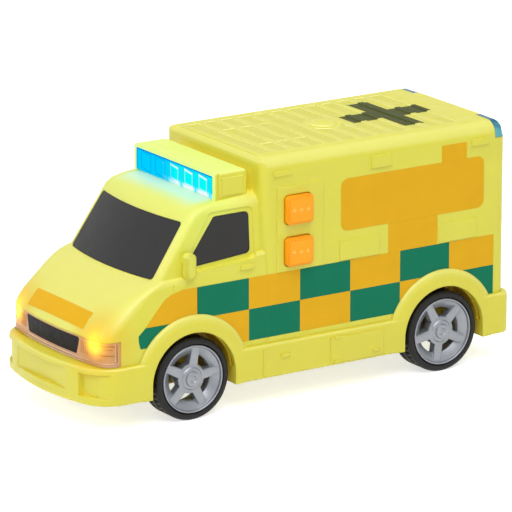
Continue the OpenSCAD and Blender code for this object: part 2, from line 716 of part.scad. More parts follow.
module light_bar_lens() {
    low = cab_roof_z + 0.3;
    color(blue) difference() {
        union() {
            block(bar_x + 0.2, bar_x + 0.2 + bar_lens_t, -bar_lens_half, bar_lens_half, low, bar_lens_top);
            for (y = bar_blocks)
                block(
                    bar_x + bar_lens_t, bar_x + bar_lens_t + 1,
                    y - 3.6, y + 3.6,
                    low + 1, bar_lens_top - 1
                );
        }
        for (y = bar_blocks)
            for (i = [0:3])
                block(bar_x + bar_lens_t + 0.5, bar_x + bar_lens_t + 2, y - 4, y + 4,
                    low + 1.9 + 1.7 * i, low + 2.5 + 1.7 * i);
    }
}
board_x = bar_x + 7.6;
module light_bar_board() {
    half = bar_half - 4.7;
    color(green) block(board_x, board_x + board_t, -half, half, cab_roof_z + 1.4, bar_top_z - bar_wall);
}
module light_bar_leds() {
    color([0.8, 0.9, 1]) for (y = bar_blocks)
        translate([board_x, y, (cab_roof_z + bar_top_z) / 2 + 0.1]) rotate([0, -90, 0]) {
            cylinder(d = 4.6, h = 1, $fn = 32);
            cylinder(d = 4, h = 1.8, $fn = 32);
            translate([0, 0, 1.8]) intersection() {
                sphere(d = 4, $fn = 32);
                block(-3, 3, -3, 3, 0, 3);
            }
        }
}

// Panes and lenses.
module rear_corner_lens_left() {
    color(blue) difference() {
        intersection() {
            corner_zone(0);
            box_form(0);
        }
        box_form(corner_lens_t);
    }
}
module rear_corner_lens_right() {
    mirror([0, 1, 0]) rear_corner_lens_left();
}
module windscreen() {
    color(black) difference() {
        intersection() {
            screen_shape(0);
            upper_cab(0.1);
        }
        upper_cab(pane_t);
        lower_cab(0);
    }
}
module door_window_left() {
    color(black) difference() {
        intersection() {
            door_shape(0);
            upper_cab(0.3);
        }
        upper_cab(pane_t);
    }
}
module door_window_right() {
    mirror([0, 1, 0]) door_window_left();
}
module rear_door_windows() {
    color(black) intersection() {
        rear_pane_shape(0);
        block(body_rear + 0.4 - pane_t, body_rear + 0.2, -half_w, half_w, roof_z - 40, roof_z - 6);
    }
}
module headlamp_lens() {
    color([0.9, 0.9, 0.92]) difference() {
        intersection() {
            lens_zone(0);
            lower_cab(0.05);
        }
        lower_cab(lamp_lens_t);
        difference() {
            grille_shape(0.05);
            lower_cab(0.7);
        }
    }
}
module grille_panel() {
    color(black) difference() {
        intersection() {
            grille_shape(0);
            lower_cab(0.05);
        }
        lower_cab(0.7);
    }
}
module headlamp_leds() {
    color(amber) both_sides() translate([lens_back_x - 1.9, -lamp_y, lamp_z]) rotate([0, 90, 0]) {
        sphere(d = 5, $fn = 32);
        cylinder(d = 5, h = 6, $fn = 32);
    }
}

// Push buttons with the plungers of their switches.
module push_button(z) {
    color(amber) difference() {
        union() {
            button_shape(z, 0, -button_face + 0.8, -flange_y + flange_t);
            button_shape(z, -0.35, -button_face + 0.3, -button_face + 1);
            button_shape(z, -0.9, -button_face, -button_face + 1);
            button_shape(z, 0.9, -flange_y, -flange_y + flange_t);
            for (x = [-3, 0, 3])
                translate([button_x + 0.6 + x, -button_face + 0.25, z + 0.4])
                    sphere(d = 1.2, $fn = 24);
        }
        button_shape(z, -1.6, -flange_y - 0.6, -flange_y + flange_t + 1);
    }
    color(amber) translate([button_x, -flange_y + flange_t, z]) rotate([90, 0, 0])
        cylinder(r = 2.2, h = 3, $fn = 32);
}
module upper_button() {
    push_button(button_zs[0]);
}
module lower_button() {
    push_button(button_zs[1]);
}
module plunger(z) {
    color(black) translate([button_x, -flange_y + flange_t, z]) rotate([-90, 0, 0])
        cylinder(r = plunger_r, h = button_travel + 1, $fn = 32);
}
module upper_plunger() {
    plunger(button_zs[0]);
}
module lower_plunger() {
    plunger(button_zs[1]);
}
module key_switches() {
    color(black) for (z = button_zs)
        difference() {
            block(button_x - 3, button_x + 3, -board_y - switch_h, -board_y, z - 3, z + 3);
            translate([button_x, -board_y - switch_h - 1, z]) rotate([-90, 0, 0])
                cylinder(r = plunger_r + 0.1, h = switch_h + 0.4, $fn = 32);
        }
}
module circuit_board() {
    color(green) difference() {
        block(
            button_x - 11.4, button_x + 11.4,
            -board_y, -board_y + board_t,
            button_z - 15.6, button_z + 15.6
        );
        for (x = [button_x - 8.8, button_x + 8.8])
            translate([x, -board_y - 1, button_z]) rotate([-90, 0, 0]) cylinder(d = 2.2, h = 5, $fn = 24);
    }
}
module board_screws() {
    color(steel) for (x = [button_x - 8.8, button_x + 8.8])
        translate([x, -board_y + board_t, button_z]) rotate([90, 0, 0]) {
            cylinder(d = 1.8, h = board_t + 3.6, $fn = 24);
            translate([0, 0, -1.4]) cylinder(d = 3.6, h = 1.4, $fn = 32);
        }
}
module sound_chip() {
    color(black) translate([button_x, -board_y + board_t, button_z - 8]) rotate([-90, 0, 0])
        cylinder(r1 = 4, r2 = 2.6, h = 1.6, $fn = 48);
}

// Speaker on the floor, cone downwards.
module speaker_frame() {
    color(steel) translate([speaker_x, 0, floor_z]) {
        difference() {
            union() {
                cylinder(d = speaker_d, h = 1, $fn = 64);
                cylinder(d1 = speaker_d - 3, d2 = 17, h = 4.6, $fn = 64);
                cylinder(d = 16, h = 8, $fn = 64);
            }
            translate([0, 0, -1]) cylinder(d = speaker_d - 4, h = 1.8, $fn = 64);
            translate([0, 0, 0.79]) cylinder(d1 = speaker_d - 6.4, d2 = 14, h = 3, $fn = 64);
        }
    }
}
module speaker_cone() {
    color([0.2, 0.2, 0.22]) translate([speaker_x, 0, floor_z])
        difference() {
            union() {
                cylinder(d = speaker_d - 4, h = 0.8, $fn = 64);
                translate([0, 0, 0.8]) cylinder(d1 = speaker_d - 7, d2 = 14, h = 2, $fn = 64);
            }
            translate([0, 0, -0.01]) cylinder(d1 = speaker_d - 6, d2 = 12, h = 2.2, $fn = 64);
        }
}

// Battery bay: three cells on edge in a row, leaf and plate contacts, screwed cover.
module button_cells() {
    color(steel) for (i = [0:2])
        translate([cell_x, 1.85 + (i - 1.5) * cell_h, cell_z]) rotate([-90, 0, 0]) {
            cylinder(d = cell_d, h = cell_h - 0.5, $fn = 64);
            cylinder(d = cell_d - 1.6, h = cell_h, $fn = 64);
        }
}
module cell_spring_contact() {
    near = -bay_y;
    far = 1.85 - 1.5 * cell_h;
    color(steel) translate([0, 0, cell_z - 4]) linear_extrude(8)
        polygon([
            [cell_x - 5, near], [cell_x + 5, near], [cell_x + 5, near + 0.4], [cell_x - 4, near + 0.4],
            [cell_x + 1, far - 0.45], [cell_x + 4, far - 0.9], [cell_x + 4, far - 0.45], [cell_x + 1, far],
            [cell_x - 5, near + 0.7]
        ]);
}
module cell_end_contact() {
    color(steel) block(cell_x - 5, cell_x + 5, 1.85 + 1.5 * cell_h, bay_y, cell_z - 5, cell_z + 5);
}
module battery_cover() {
    color(yellow) difference() {
        union() {
            block(cell_x - cover_x, cell_x + cover_x, cover_lo, cover_hi, ground_gap, ground_gap + 1.6);
            translate([cell_x, cover_screw_y, ground_gap]) cylinder(r = 3.1, h = 3.2, $fn = 32);
        }
        translate([cell_x, cover_screw_y, ground_gap - 1]) cylinder(d = screw_d + 0.3, h = 8, $fn = 24);
        translate([cell_x, cover_screw_y, ground_gap - 1]) cylinder(r = 2.3, h = 2.6, $fn = 32);
        for (i = [0:3])
            block(cell_x - 5, cell_x + 5, cover_lo + 2 + 1.6 * i, cover_lo + 2.7 + 1.6 * i,
                ground_gap - 1, ground_gap + 0.4);
    }
}
module pan_screw(length) {
    cylinder(d = screw_d, h = length, $fn = 24);
    difference() {
        translate([0, 0, -1.4]) cylinder(r = 2.1, h = 1.4, $fn = 32);
        translate([-0.4, -1.5, -2]) cube([0.8, 3, 1.2]);
        translate([-1.5, -0.4, -2]) cube([3, 0.8, 1.2]);
    }
}
module battery_cover_screw() {
    color(steel) translate([cell_x, cover_screw_y, ground_gap + 1.6]) pan_screw(7);
}
module body_screws() {
    color(steel) both_sides()
        for (p = [front_post, rear_post])
            translate([p.x, p.y, ground_gap + 4]) pan_screw(12);
}

// Wheels: drawn with the outer face at z = 0 and the axle towards -z, then laid on the axle's line.
module on_axle(x, side) {
    if (side < 0)
        translate([x, -wheel_y, axle_z]) rotate([90, 0, 0]) children();
    else
        translate([x, wheel_y, axle_z]) mirror([0, 1, 0]) rotate([90, 0, 0]) children();
}
tyre_seat = rim_d / 2 - 0.8;
boss_end = wheel_y - well_y - wheel_play;
module hub(turn) {
    lip = rim_d / 2;
    slot_out = lip - 3.9;
    slot_in = 5;
    color([0.62, 0.63, 0.66]) rotate(turn) difference() {
        union() {
            difference() {
                rotate_extrude($fn = 96) polygon([
                    [0, -2.9], [slot_out - 0.3, -2.9], [lip - 0.7, -0.7],
                    [lip - 0.6, 0.1], [lip, 0.1], [lip, -1],
                    [tyre_seat, -1], [tyre_seat, -tyre_w + 0.4], [tyre_seat - 1.2, -tyre_w + 0.4],
                    [tyre_seat - 1.2, -4.6], [0, -4.6]
                ]);
                difference() {
                    translate([0, 0, -6]) cylinder(r = slot_out, h = 5, $fn = 64);
                    translate([0, 0, -7]) cylinder(r = slot_in, h = 7, $fn = 64);
                }
            }
            for (i = [0:spokes - 1])
                rotate(90 + 360 * i / spokes)
                    difference() {
                        translate([0, 0, -4.4]) linear_extrude(3.2)
                            polygon([[2, -2.1], [lip - 1.2, -1.6], [lip - 1.2, 1.6], [2, 2.1]]);
                        block(5.4, lip - 1.8, -0.45, 0.45, -1.55, 0);
                    }
            translate([0, 0, -3.2]) cylinder(r = slot_in, h = 2.2, $fn = 64);
            translate([0, 0, -1.2]) cylinder(r = 3.6, h = 0.6, $fn = 48);
            translate([0, 0, -1]) cylinder(r1 = 2.9, r2 = 2.5, h = 1.2, $fn = 48);
            translate([0, 0, -boss_end]) cylinder(r = 3.4, h = boss_end - 3, $fn = 48);
        }
        translate([0, 0, -boss_end - 1]) cylinder(d = axle_d, h = boss_end - 1, $fn = 48);
        translate([0, 0, -0.2]) cylinder(r = 1.2, h = 2, $fn = 32);
    }
}
module tyre() {
    r = wheel_d / 2;
    lip = rim_d / 2;
    color([0.12, 0.12, 0.12]) rotate_extrude($fn = 96) polygon(concat(
        [[tyre_seat, -tyre_w], [r - 1.4, -tyre_w]],
        arc_pts([r - 1.4, -tyre_w + 1.4], 1.4, -90, 0, 6),
        [for (g = [0.36, 0.64]) each [
            [r, -tyre_w * (1 - g) - 0.5], [r - 0.5, -tyre_w * (1 - g) - 0.4],
            [r - 0.5, -tyre_w * (1 - g) + 0.4], [r, -tyre_w * (1 - g) + 0.5]
        ]],
        arc_pts([r - 1.4, -1.4], 1.4, 0, 90, 6),
        [[lip + 0.6, 0], [lip + 0.2, -0.5], [lip, -1], [tyre_seat, -1]]
    ));
}
module axle() {
    color(steel) rotate([90, 0, 0]) cylinder(d = axle_d, h = 2 * (wheel_y - 2), center = true, $fn = 48);
}

place() {
    body_shell();
    chassis();
    light_bar_housing();
    light_bar_lens();
    light_bar_board();
    light_bar_leds();
    rear_corner_lens_left();
    rear_corner_lens_right();
    windscreen();
    door_window_left();
    door_window_right();
    rear_door_windows();
    headlamp_lens();
    headlamp_leds();
    grille_panel();
    upper_button();
    lower_button();
    upper_plunger();
    lower_plunger();
    key_switches();
    circuit_board();
    board_screws();
    sound_chip();
    speaker_frame();
    speaker_cone();
    button_cells();
    cell_spring_contact();
    cell_end_contact();
    battery_cover();
    battery_cover_screw();
    body_screws();
    translate([0, 0, axle_z]) axle();  // front_axle
    translate([wheelbase, 0, axle_z]) axle();  // rear_axle
    on_axle(0, -1) hub(-10);  // hub_front_left
    on_axle(0, 1) hub(-10);  // hub_front_right
    on_axle(wheelbase, -1) hub(28);  // hub_rear_left
    on_axle(wheelbase, 1) hub(28);  // hub_rear_right
    on_axle(0, -1) tyre();  // tyre_front_left
    on_axle(0, 1) tyre();  // tyre_front_right
    on_axle(wheelbase, -1) tyre();  // tyre_rear_left
    on_axle(wheelbase, 1) tyre();  // tyre_rear_right
}
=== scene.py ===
"""Looks of a push-along toy ambulance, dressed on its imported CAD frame.

Laid out as an add-on and run as a script: the frame is loaded, the classes are registered, and the
operators finish the toy piece by piece. Lengths in the code are millimetres from the front axle's
line, unless a name says otherwise; place() turns them into the frame's metres.
"""

import math

import bmesh
import bpy
from bpy.props import FloatProperty, FloatVectorProperty, IntProperty, PointerProperty
from mathutils import Matrix, Vector
from mathutils.bvhtree import BVHTree


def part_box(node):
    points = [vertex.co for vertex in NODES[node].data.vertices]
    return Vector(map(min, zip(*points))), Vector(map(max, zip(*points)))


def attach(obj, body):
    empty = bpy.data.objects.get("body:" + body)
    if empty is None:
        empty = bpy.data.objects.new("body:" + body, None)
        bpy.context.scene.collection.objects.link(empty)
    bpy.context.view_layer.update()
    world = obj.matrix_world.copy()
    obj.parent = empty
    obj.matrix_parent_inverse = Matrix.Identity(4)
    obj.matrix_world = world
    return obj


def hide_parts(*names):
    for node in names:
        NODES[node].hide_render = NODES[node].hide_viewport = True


bl_info = {
    "name": "Toy Ambulance",
    "version": (1, 0, 0),
    "blender": (4, 5, 0),
    "location": "View3D > Sidebar > Ambulance",
    "description": "Dresses the toy ambulance's frame with finishes, markings and lamps",
    "category": "Object",
}

MM = 0.001
SIDES = {"left": -1, "right": 1}
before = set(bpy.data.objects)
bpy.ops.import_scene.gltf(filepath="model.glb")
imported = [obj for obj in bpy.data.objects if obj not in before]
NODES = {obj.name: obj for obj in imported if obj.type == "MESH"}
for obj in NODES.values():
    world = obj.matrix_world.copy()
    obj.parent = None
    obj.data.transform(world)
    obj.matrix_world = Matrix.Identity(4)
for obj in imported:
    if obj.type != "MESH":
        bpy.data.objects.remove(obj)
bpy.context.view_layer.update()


def middle(node):
    """Middle of a node's box, in metres."""
    low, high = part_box(node)
    return (low + high) / 2


FRONT_AXLE = middle("front_axle")
REAR_AXLE = middle("rear_axle")
WHEELBASE = (REAR_AXLE.x - FRONT_AXLE.x) / MM
AXLE_Z = FRONT_AXLE.z / MM


def place(x, y, z):
    """Millimetres from the front axle's line to a point of the frame."""
    return Vector((FRONT_AXLE.x + x * MM, y * MM, z * MM))


def linear(code):
    """sRGB hex code to linear red, green and blue."""
    parts = [int(code[i : i + 2], 16) / 255 for i in (1, 3, 5)]
    return [p / 12.92 if p <= 0.04045 else ((p + 0.055) / 1.055) ** 2.4 for p in parts]


def colour(name, description, code):
    return FloatVectorProperty(
        name=name, description=description, subtype="COLOR", min=0, max=1, default=linear(code)
    )


def length(name, description, mm):
    return FloatProperty(
        name=name,
        description=description,
        unit="LENGTH",
        subtype="DISTANCE",
        min=0,
        precision=5,
        default=mm * MM,
    )


class AmbulanceColours(bpy.types.PropertyGroup):
    """Colours of the mouldings, the films and the lamps"""

    yellow: colour("Yellow ABS", "Shell and light bar cover", "#D4CF3D")
    lower_yellow: colour("Lower yellow ABS", "Chassis and battery cover", "#D3CB39")
    orange_film: colour("Orange film", "Panel, column, tab and half of the checks", "#DEAA1C")
    green_film: colour("Green film", "The other half of the checks", "#0A7254")
    olive_ink: colour("Olive ink", "Cross printed on the roof", "#454B22")
    black_pane: colour("Black pane", "Windscreen and windows", "#2B2A2A")
    grille: colour("Grille", "Panel between the headlamps", "#1A1817")
    orange_key: colour("Orange key", "Push buttons", "#FFA518")
    # Painted highlight: a paler orange on the buttons' dots.
    worn_key: colour("Worn key", "Dots on the push buttons", "#FFB84C")
    silver: colour("Silver hub", "Wheel hubs", "#8C8F95")
    tyre: colour("Tyre", "Soft PVC tyres", "#121110")
    lit_blue: colour("Lit blue", "Light bar away from its lamps", "#00CFFF")
    deep_blue: colour("Deep blue", "Edges of the light bar's blocks", "#0078E4")
    lit_cyan: colour("Lit cyan", "Light bar in front of its lamps", "#06FCF8")
    lit_core: colour("Lit core", "Light bar over and under its lamps", "#EEFFFF")
    teal_lens: colour("Teal lens", "Corner lenses where they stand upright", "#5FB4BC")
    blue_lens: colour("Blue lens", "Corner lenses where they face up", "#0E6684")
    clear_lens: colour("Clear lens", "Headlamp strip", "#DAA686")
    lens_foot: colour("Lens foot", "Pale lines of the headlamp strip", "#F0DCCB")
    lens_edge: colour("Lens edge", "Dark lines of the headlamp strip", "#84442C")
    amber: colour("Amber", "Headlamps' glow", "#FF9200")
    lamp_core: colour("Lamp core", "Headlamps at their brightest", "#FFF01A")
    lamp_lit_lens: colour("Warm lens", "Headlamp strip round its lamps", "#DC9C34")
    lamp_lit_yellow: colour("Warm yellow", "Yellow ABS round the headlamps", "#DEB60E")
    # Painted light and shade in corners: brighter in open ones, a deeper yellow in deep ones.
    painted_corner_light: colour("Corner yellow", "Lower yellow ABS in its open corners", "#FADC2E")
    painted_shell_corner_light: colour("Shell corner", "Yellow ABS of the shell in its open corners", "#FFF25A")
    painted_deep_shade: colour("Deep yellow", "Lower yellow ABS in its deep corners", "#DC900C")
    painted_sky_reflection: colour("Pale yellow", "Yellow ABS where it slopes to the sky", "#DEDC84")
    lit_flank: colour("Lit flank", "Yellow ABS on the flanks of the roof's ribs", "#FBF8B0")
    lit_ink: colour("Lit ink", "Roof cross on the flanks of the ribs", "#6E7444")
    bar_green: colour("Bar green", "Yellow ABS further from the light bar", "#D2E466")
    bar_mint: colour("Bar mint", "Yellow ABS in the light bar's light", "#C4E6CC")
    bar_through: colour("Bar through", "Light that comes through the light bar's cover", "#78FFB0")


class AmbulanceSizes(bpy.types.PropertyGroup):
    """Sizes that the frame doesn't give"""

    film_lift: length("Film lift", "How far the films stand off the sides", 0.05)
    check_low: length("Check foot", "Ground to the foot of the checks", 25.3)
    check_mid: length("Check middle", "Ground to the line between the rows", 36.9)
    check_top: length("Check top", "Ground to the top of the checks", 48.5)
    cross_long: length("Cross long arm", "Width of the roof cross's arm along the toy", 10.4)
    cross_wide: length("Cross wide arm", "Width of the roof cross's arm over the toy", 9.4)
    tread_depth: length("Tread depth", "Depth of the notches along the tread", 0.6)
    tread_notches: IntProperty(
        name="Tread notches",
        description="Notches round one side of the tread",
        min=12,
        max=80,
        default=44,
    )


def colours():
    return bpy.context.scene.ambulance_colours


def sizes():
    return bpy.context.scene.ambulance_sizes


# Materials

MATH, RANGE, MIX = "ShaderNodeMath", "ShaderNodeMapRange", "ShaderNodeMix"
BUMP = "ShaderNodeBump"
NOISE, AXES, FACING = "ShaderNodeTexNoise", "ShaderNodeSeparateXYZ", "ShaderNodeNewGeometry"


def add(tree, kind, sockets=(), **settings):
    """Adds a node, sets its attributes, and sets or links its input sockets, given in order or by
    name. A node stands for its first output in use."""
    node = tree.nodes.new(kind)
    for name, value in settings.items():
        setattr(node, name, value)
    for key, value in sockets.items() if isinstance(sockets, dict) else enumerate(sockets):
        if isinstance(value, bpy.types.Node):
            value = next(output for output in value.outputs if output.enabled)
        if isinstance(value, bpy.types.NodeSocket):
            tree.links.new(value, node.inputs[key])
        else:
            node.inputs[key].default_value = value
    return node


def per_metre(mm):
    """Texture scale at which one feature is about so many millimetres wide."""
    return 1 / (mm * MM)


def rgba(values):
    return (*values, 1.0)


def shade(values, gain):
    return [min(1.0, v * gain) for v in values]


def finish(name, base, tone, rough, grain, edge, **inputs):
    """A material with what every finish here has: two tones that drift into each other, a roughness
    that varies, a fine grain, and edges that catch the light on a small radius. Tone and rough are
    two values and the millimetres over which they drift, grain is a width and a depth, and edge a
    radius. The material comes with its tree, its shader and the frame's coordinates."""
    mat = bpy.data.materials.new(name)
    mat.use_nodes = True
    tree = mat.node_tree
    tree.nodes.clear()
    point = add(tree, "ShaderNodeTexCoord").outputs["Object"]
    drift, patch, bumps = (
        add(tree, NOISE, {"Vector": point, "Scale": per_metre(mm), "Detail": detail}).outputs["Fac"]
        for mm, detail in ((tone[2], 4.0), (rough[2], 3.0), (grain[0], 2.0))
    )
    darker, lighter = (rgba(shade(base, gain)) for gain in tone[:2])
    mixed = add(tree, MIX, {0: drift, 6: darker, 7: lighter}, data_type="RGBA")
    rubbed = add(tree, RANGE, (patch, 0.3, 0.7, *rough[:2]))
    rounded = add(tree, "ShaderNodeBevel", {"Radius": edge * MM}, samples=6)
    relief = {"Distance": grain[1] * MM, "Height": bumps, "Normal": rounded}
    shader = add(
        tree,
        "ShaderNodeBsdfPrincipled",
        {"Base Color": mixed, "Roughness": rubbed, "Normal": add(tree, BUMP, relief)},
    )
    add(tree, "ShaderNodeOutputMaterial", {"Surface": shader})
    for key, value in inputs.items():
        shader.inputs[key.replace("_", " ")].default_value = value
    return mat, tree, shader, point


def overlap(tree, *rises):
    """Product of smooth rises, each of a value from nothing at one mark to a gain at another."""
    share = None
    for value, zero, full, gain in rises:
        rise = add(tree, RANGE, (value, zero, full, 0.0, gain), interpolation_type="SMOOTHSTEP")
        share = add(tree, MATH, (share, rise), operation="MULTIPLY") if share else rise
    return share


def upward(tree, normal):
    """How far a surface faces up, by its shaded or its true normal."""
    return add(tree, AXES, (add(tree, FACING).outputs[normal],)).outputs["Z"]


def tinge(tree, shader, share, values):
    """Draws the base colour towards another one by a share that varies over the surface."""
    tone = shader.inputs["Base Color"].links[0].from_socket
    mixed = add(tree, MIX, {0: share, 6: tone, 7: rgba(values)}, data_type="RGBA")
    tree.links.new(mixed.outputs[2], shader.inputs["Base Color"])


# Where the right headlamp is brightest, the top of the roof and the floor of the bands between its
# ribs, in metres, and the ribs' half width in millimetres.
LAMP_SPOT = place(-35.2, 26.0, 32.3)
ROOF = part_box("rear_corner_lens_left")[1].z
BAND_FLOOR = ROOF - 0.35 * MM
RIBS_HALF = 25.5


def lamp_glow(tree, shader, point, reach_mm, strength, warm, warm_mm):
    """Painted light of the nearer headlamp in a wall, drawn as emission: yellow at the lamp, amber
    further out, and a painted warmer tint of the wall for some way round it."""
    axes = add(tree, AXES, (point,))
    across = add(tree, MATH, (axes.outputs["Y"],), operation="ABSOLUTE")
    folded = add(tree, "ShaderNodeCombineXYZ", (axes.outputs["X"], across, axes.outputs["Z"]))
    far = add(tree, "ShaderNodeVectorMath", (folded, LAMP_SPOT), operation="DISTANCE")
    core = overlap(tree, (far, 7.0 * MM, 2.4 * MM, 1.0))
    level = overlap(tree, (far, reach_mm * MM, 0.5 * MM, strength))
    warmth = overlap(tree, (far, warm_mm * MM, 3 * MM, 0.8))
    layers = {0: core, 6: rgba(colours().amber), 7: rgba(colours().lamp_core)}
    tint = add(tree, MIX, layers, data_type="RGBA")
    tree.links.new(tint.outputs[2], shader.inputs["Emission Color"])
    tree.links.new(level.outputs[0], shader.inputs["Emission Strength"])
    tinge(tree, shader, warmth, warm)


def bar_glow(tree, shader, point):
    """Painted light of the light bar on the cab roof: mint in front of its lens, green further out.
    """
    low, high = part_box("light_bar_lens")
    axes = add(tree, AXES, (point,))
    ahead = add(tree, MATH, (low.x, axes.outputs["X"]), operation="SUBTRACT")
    across = add(tree, MATH, (axes.outputs["Y"],), operation="ABSOLUTE")
    height = axes.outputs["Z"]
    around = overlap(
        tree,
        (ahead, 26 * MM, 8 * MM, 0.5),
        (ahead, -16 * MM, -1 * MM, 1.0),
        (height, low.z - 30 * MM, low.z - 8 * MM, 1.0),
    )
    close = overlap(
        tree,
        (ahead, 12 * MM, 3 * MM, 0.9),
        (across, high.y + 1.5 * MM, high.y - 4 * MM, 1.0),
        (height, low.z - 9 * MM, low.z - 4 * MM, 1.0),
        (ahead, -1.5 * MM, -0.5 * MM, 1.0),
    )
    tinge(tree, shader, around, colours().bar_green)
    tinge(tree, shader, close, colours().bar_mint)


def level_flanks(tree, shader, share, values):
    """Paints light on steep little flanks, a lighter colour in place of their shade, so that
    they look rounded over, as they are on the toy.
    """
    steep = overlap(tree, (upward(tree, "True Normal"), 0.8, 0.4, 1.0))
    both = add(tree, MATH, (steep, share), operation="MULTIPLY")
    tinge(tree, shader, both, values)


# Painted light and shade in the corners: openness at which a corner's tinge starts and is
# full, its full share, and its colour.
SHELL_CORNER_SHADING = [(0.62, 0.3, 0.8, "painted_shell_corner_light")]
LOWER_CORNER_SHADING = [(0.58, 0.3, 0.8, "painted_corner_light"), (0.25, 0.05, 0.7, "painted_deep_shade")]
CORNER_REACH = 11


def yellow_abs(name, key, corners):
    """What all finishes of the yellow ABS share. Light that enters the plastic comes out warmer
    where walls face each other. This is painted into the corners by how open they are: a
    brighter, warmer yellow as painted light in open corners, and a deeper yellow as painted
    shade in deep ones, instead of grey."""
    # The spark grain is about 0.05 mm; drawn at 0.45 mm so that it shows.
    mat, tree, shader, point = finish(
        name, getattr(colours(), key), tone=(0.95, 1.04, 14), rough=(0.36, 0.48, 5),
        grain=(0.45, 0.006), edge=0.45, IOR=1.54, Subsurface_Weight=0.12,
        Subsurface_Radius=(0.9, 0.8, 0.25), Subsurface_Scale=1.2 * MM,
    )
    # Slopes that face the sky get a painted reflection of it: a paler yellow.
    rise = upward(tree, "Normal")
    slope = overlap(tree, (rise, 0.06, 0.5, 0.45), (rise, 0.999, 0.95, 1.0))
    tinge(tree, shader, slope, colours().painted_sky_reflection)
    # The roof's ribs are too low to close in their corners.
    height = add(tree, AXES, (point,)).outputs["Z"]
    below_ribs = (height, ROOF - 0.7 * MM, ROOF - 0.8 * MM, 1.0)
    reach = {"Distance": CORNER_REACH * MM}
    sky = add(tree, "ShaderNodeAmbientOcclusion", reach, samples=6).outputs["AO"]
    # Painted light in open corners and painted shade in deep ones, read from their openness.
    for zero, full, share, tint in corners:
        shut = overlap(tree, (sky, zero, full, share), below_ribs)
        tinge(tree, shader, shut, getattr(colours(), tint))
    return mat, tree, shader, point


def moulded_yellow_abs(name, key, corners):
    """ABS, injection moulded in a spark-eroded tool: satin, a little light goes into the skin, and
    slow tone changes where the melt flowed. The bands between the roof's ribs get painted shade,
    a darker yellow, and the headlamps' light is painted into the wall near them."""
    mat, tree, shader, point = yellow_abs(name, key, corners)
    axes = add(tree, AXES, (point,))
    across = add(tree, MATH, (axes.outputs["Y"],), operation="ABSOLUTE")
    within = add(tree, MATH, (across, RIBS_HALF * MM), operation="LESS_THAN")
    sunk = add(tree, MATH, (axes.outputs["Z"], BAND_FLOOR, 0.12 * MM), operation="COMPARE")
    high = add(tree, MATH, (axes.outputs["Z"], ROOF - 0.6 * MM), operation="GREATER_THAN")
    band, roof = (add(tree, MATH, (within, v), operation="MULTIPLY") for v in (sunk, high))
    # Painted shade: the band floors between the ribs are drawn a darker yellow.
    tinge(tree, shader, band, shade(colours().yellow, 0.9))
    # Painted light on the ribs' steep flanks.
    level_flanks(tree, shader, roof, colours().lit_flank)
    # Painted light of the headlamps in the wall round them.
    warm = colours().lamp_lit_yellow
    lamp_glow(tree, shader, point, reach_mm=9.0, strength=0.45, warm=warm, warm_mm=17)
    # Painted light of the light bar on the cab roof.
    bar_glow(tree, shader, point)
    return mat


def lit_yellow_abs():
    """ABS, injection moulded thin over the light bar, with the blue lamps' light painted in as
    a glow: a little green on its top and pale on its rim round the lens."""
    mat, tree, shader, point = yellow_abs("moulded_thin_yellow_abs", "yellow", SHELL_CORNER_SHADING)
    rise = upward(tree, "Normal")
    back = add(tree, AXES, (point,)).outputs["X"]
    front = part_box("light_bar_lens")[0].x
    top = overlap(tree, (rise, 0.2, 0.9, 0.2))
    rim = overlap(tree, (back, front + 0.6 * MM, front, 0.4))
    glow = add(tree, MATH, (top, rim), operation="MAXIMUM")
    shader.inputs["Emission Color"].default_value = rgba(colours().bar_through)
    tree.links.new(glow.outputs[0], shader.inputs["Emission Strength"])
    return mat


def moulded_orange_abs(name, key):
    """ABS, injection moulded and polished by thumbs: brighter gloss than the shell. Its paler
    colour on the dots is a painted highlight where they stand proud."""
    return finish(
        name, getattr(colours(), key), tone=(0.94, 1.04, 6), rough=(0.28, 0.4, 3),
        grain=(0.5, 0.005), edge=0.22, IOR=1.54, Specular_IOR_Level=0.2, Subsurface_Weight=0.06,
        Subsurface_Radius=(1.0, 0.5, 0.1), Subsurface_Scale=1.2 * MM,
    )[0]


def moulded_black_panes():
    """Polystyrene panes, moulded in a polished tool: smooth and dark with faint wipe marks."""
    return finish(
        "moulded_black_polystyrene", colours().black_pane, tone=(0.92, 1.08, 20),
        rough=(0.3, 0.42, 7), grain=(0.5, 0.003), edge=0.25, IOR=1.59, Specular_IOR_Level=0.15,
    )[0]


def grained_black_grille():
    """ABS, moulded with a fine hatch of slanted cuts: it breaks the light into short streaks."""
    mat, tree, shader, point = finish(
        "grained_black_abs", colours().grille, tone=(0.8, 1.3, 4), rough=(0.45, 0.6, 2),
        grain=(0.4, 0.004), edge=0.2, IOR=1.54, Specular_IOR_Level=0.1,
    )
    slant = add(
        tree, "ShaderNodeMapping", {"Vector": point, "Rotation": (math.radians(38), 0, 0)}
    )
    # At scale 1 a wave repeats every pi / 10 units.
    rate = per_metre(0.9) * math.pi / 10
    cuts = add(
        tree,
        "ShaderNodeTexWave",
        {"Vector": slant, "Scale": rate, "Distortion": 0.6},
        bands_direction="Z",
    ).outputs["Fac"]
    grain = shader.inputs["Normal"].links[0].from_socket
    hatch = add(tree, BUMP, {"Distance": 0.035 * MM, "Height": cuts, "Normal": grain})
    tree.links.new(hatch.outputs["Normal"], shader.inputs["Normal"])
    return mat


def printed_film(name, ink):
    """PVC film, screen printed: even ink with a slight mottle, glossier than the ABS below."""
    return finish(
        name, ink, tone=(0.93, 1.05, 9), rough=(0.3, 0.42, 4), grain=(0.6, 0.003), edge=0.1,
        IOR=1.53, Specular_IOR_Level=0.08,
    )[0]


def films_of():
    """The orange and the green film, made once."""
    names = {"screen_printed_orange_pvc": "orange_film", "screen_printed_green_pvc": "green_film"}
    return [
        bpy.data.materials.get(name) or printed_film(name, getattr(colours(), key))
        for name, key in names.items()
    ]


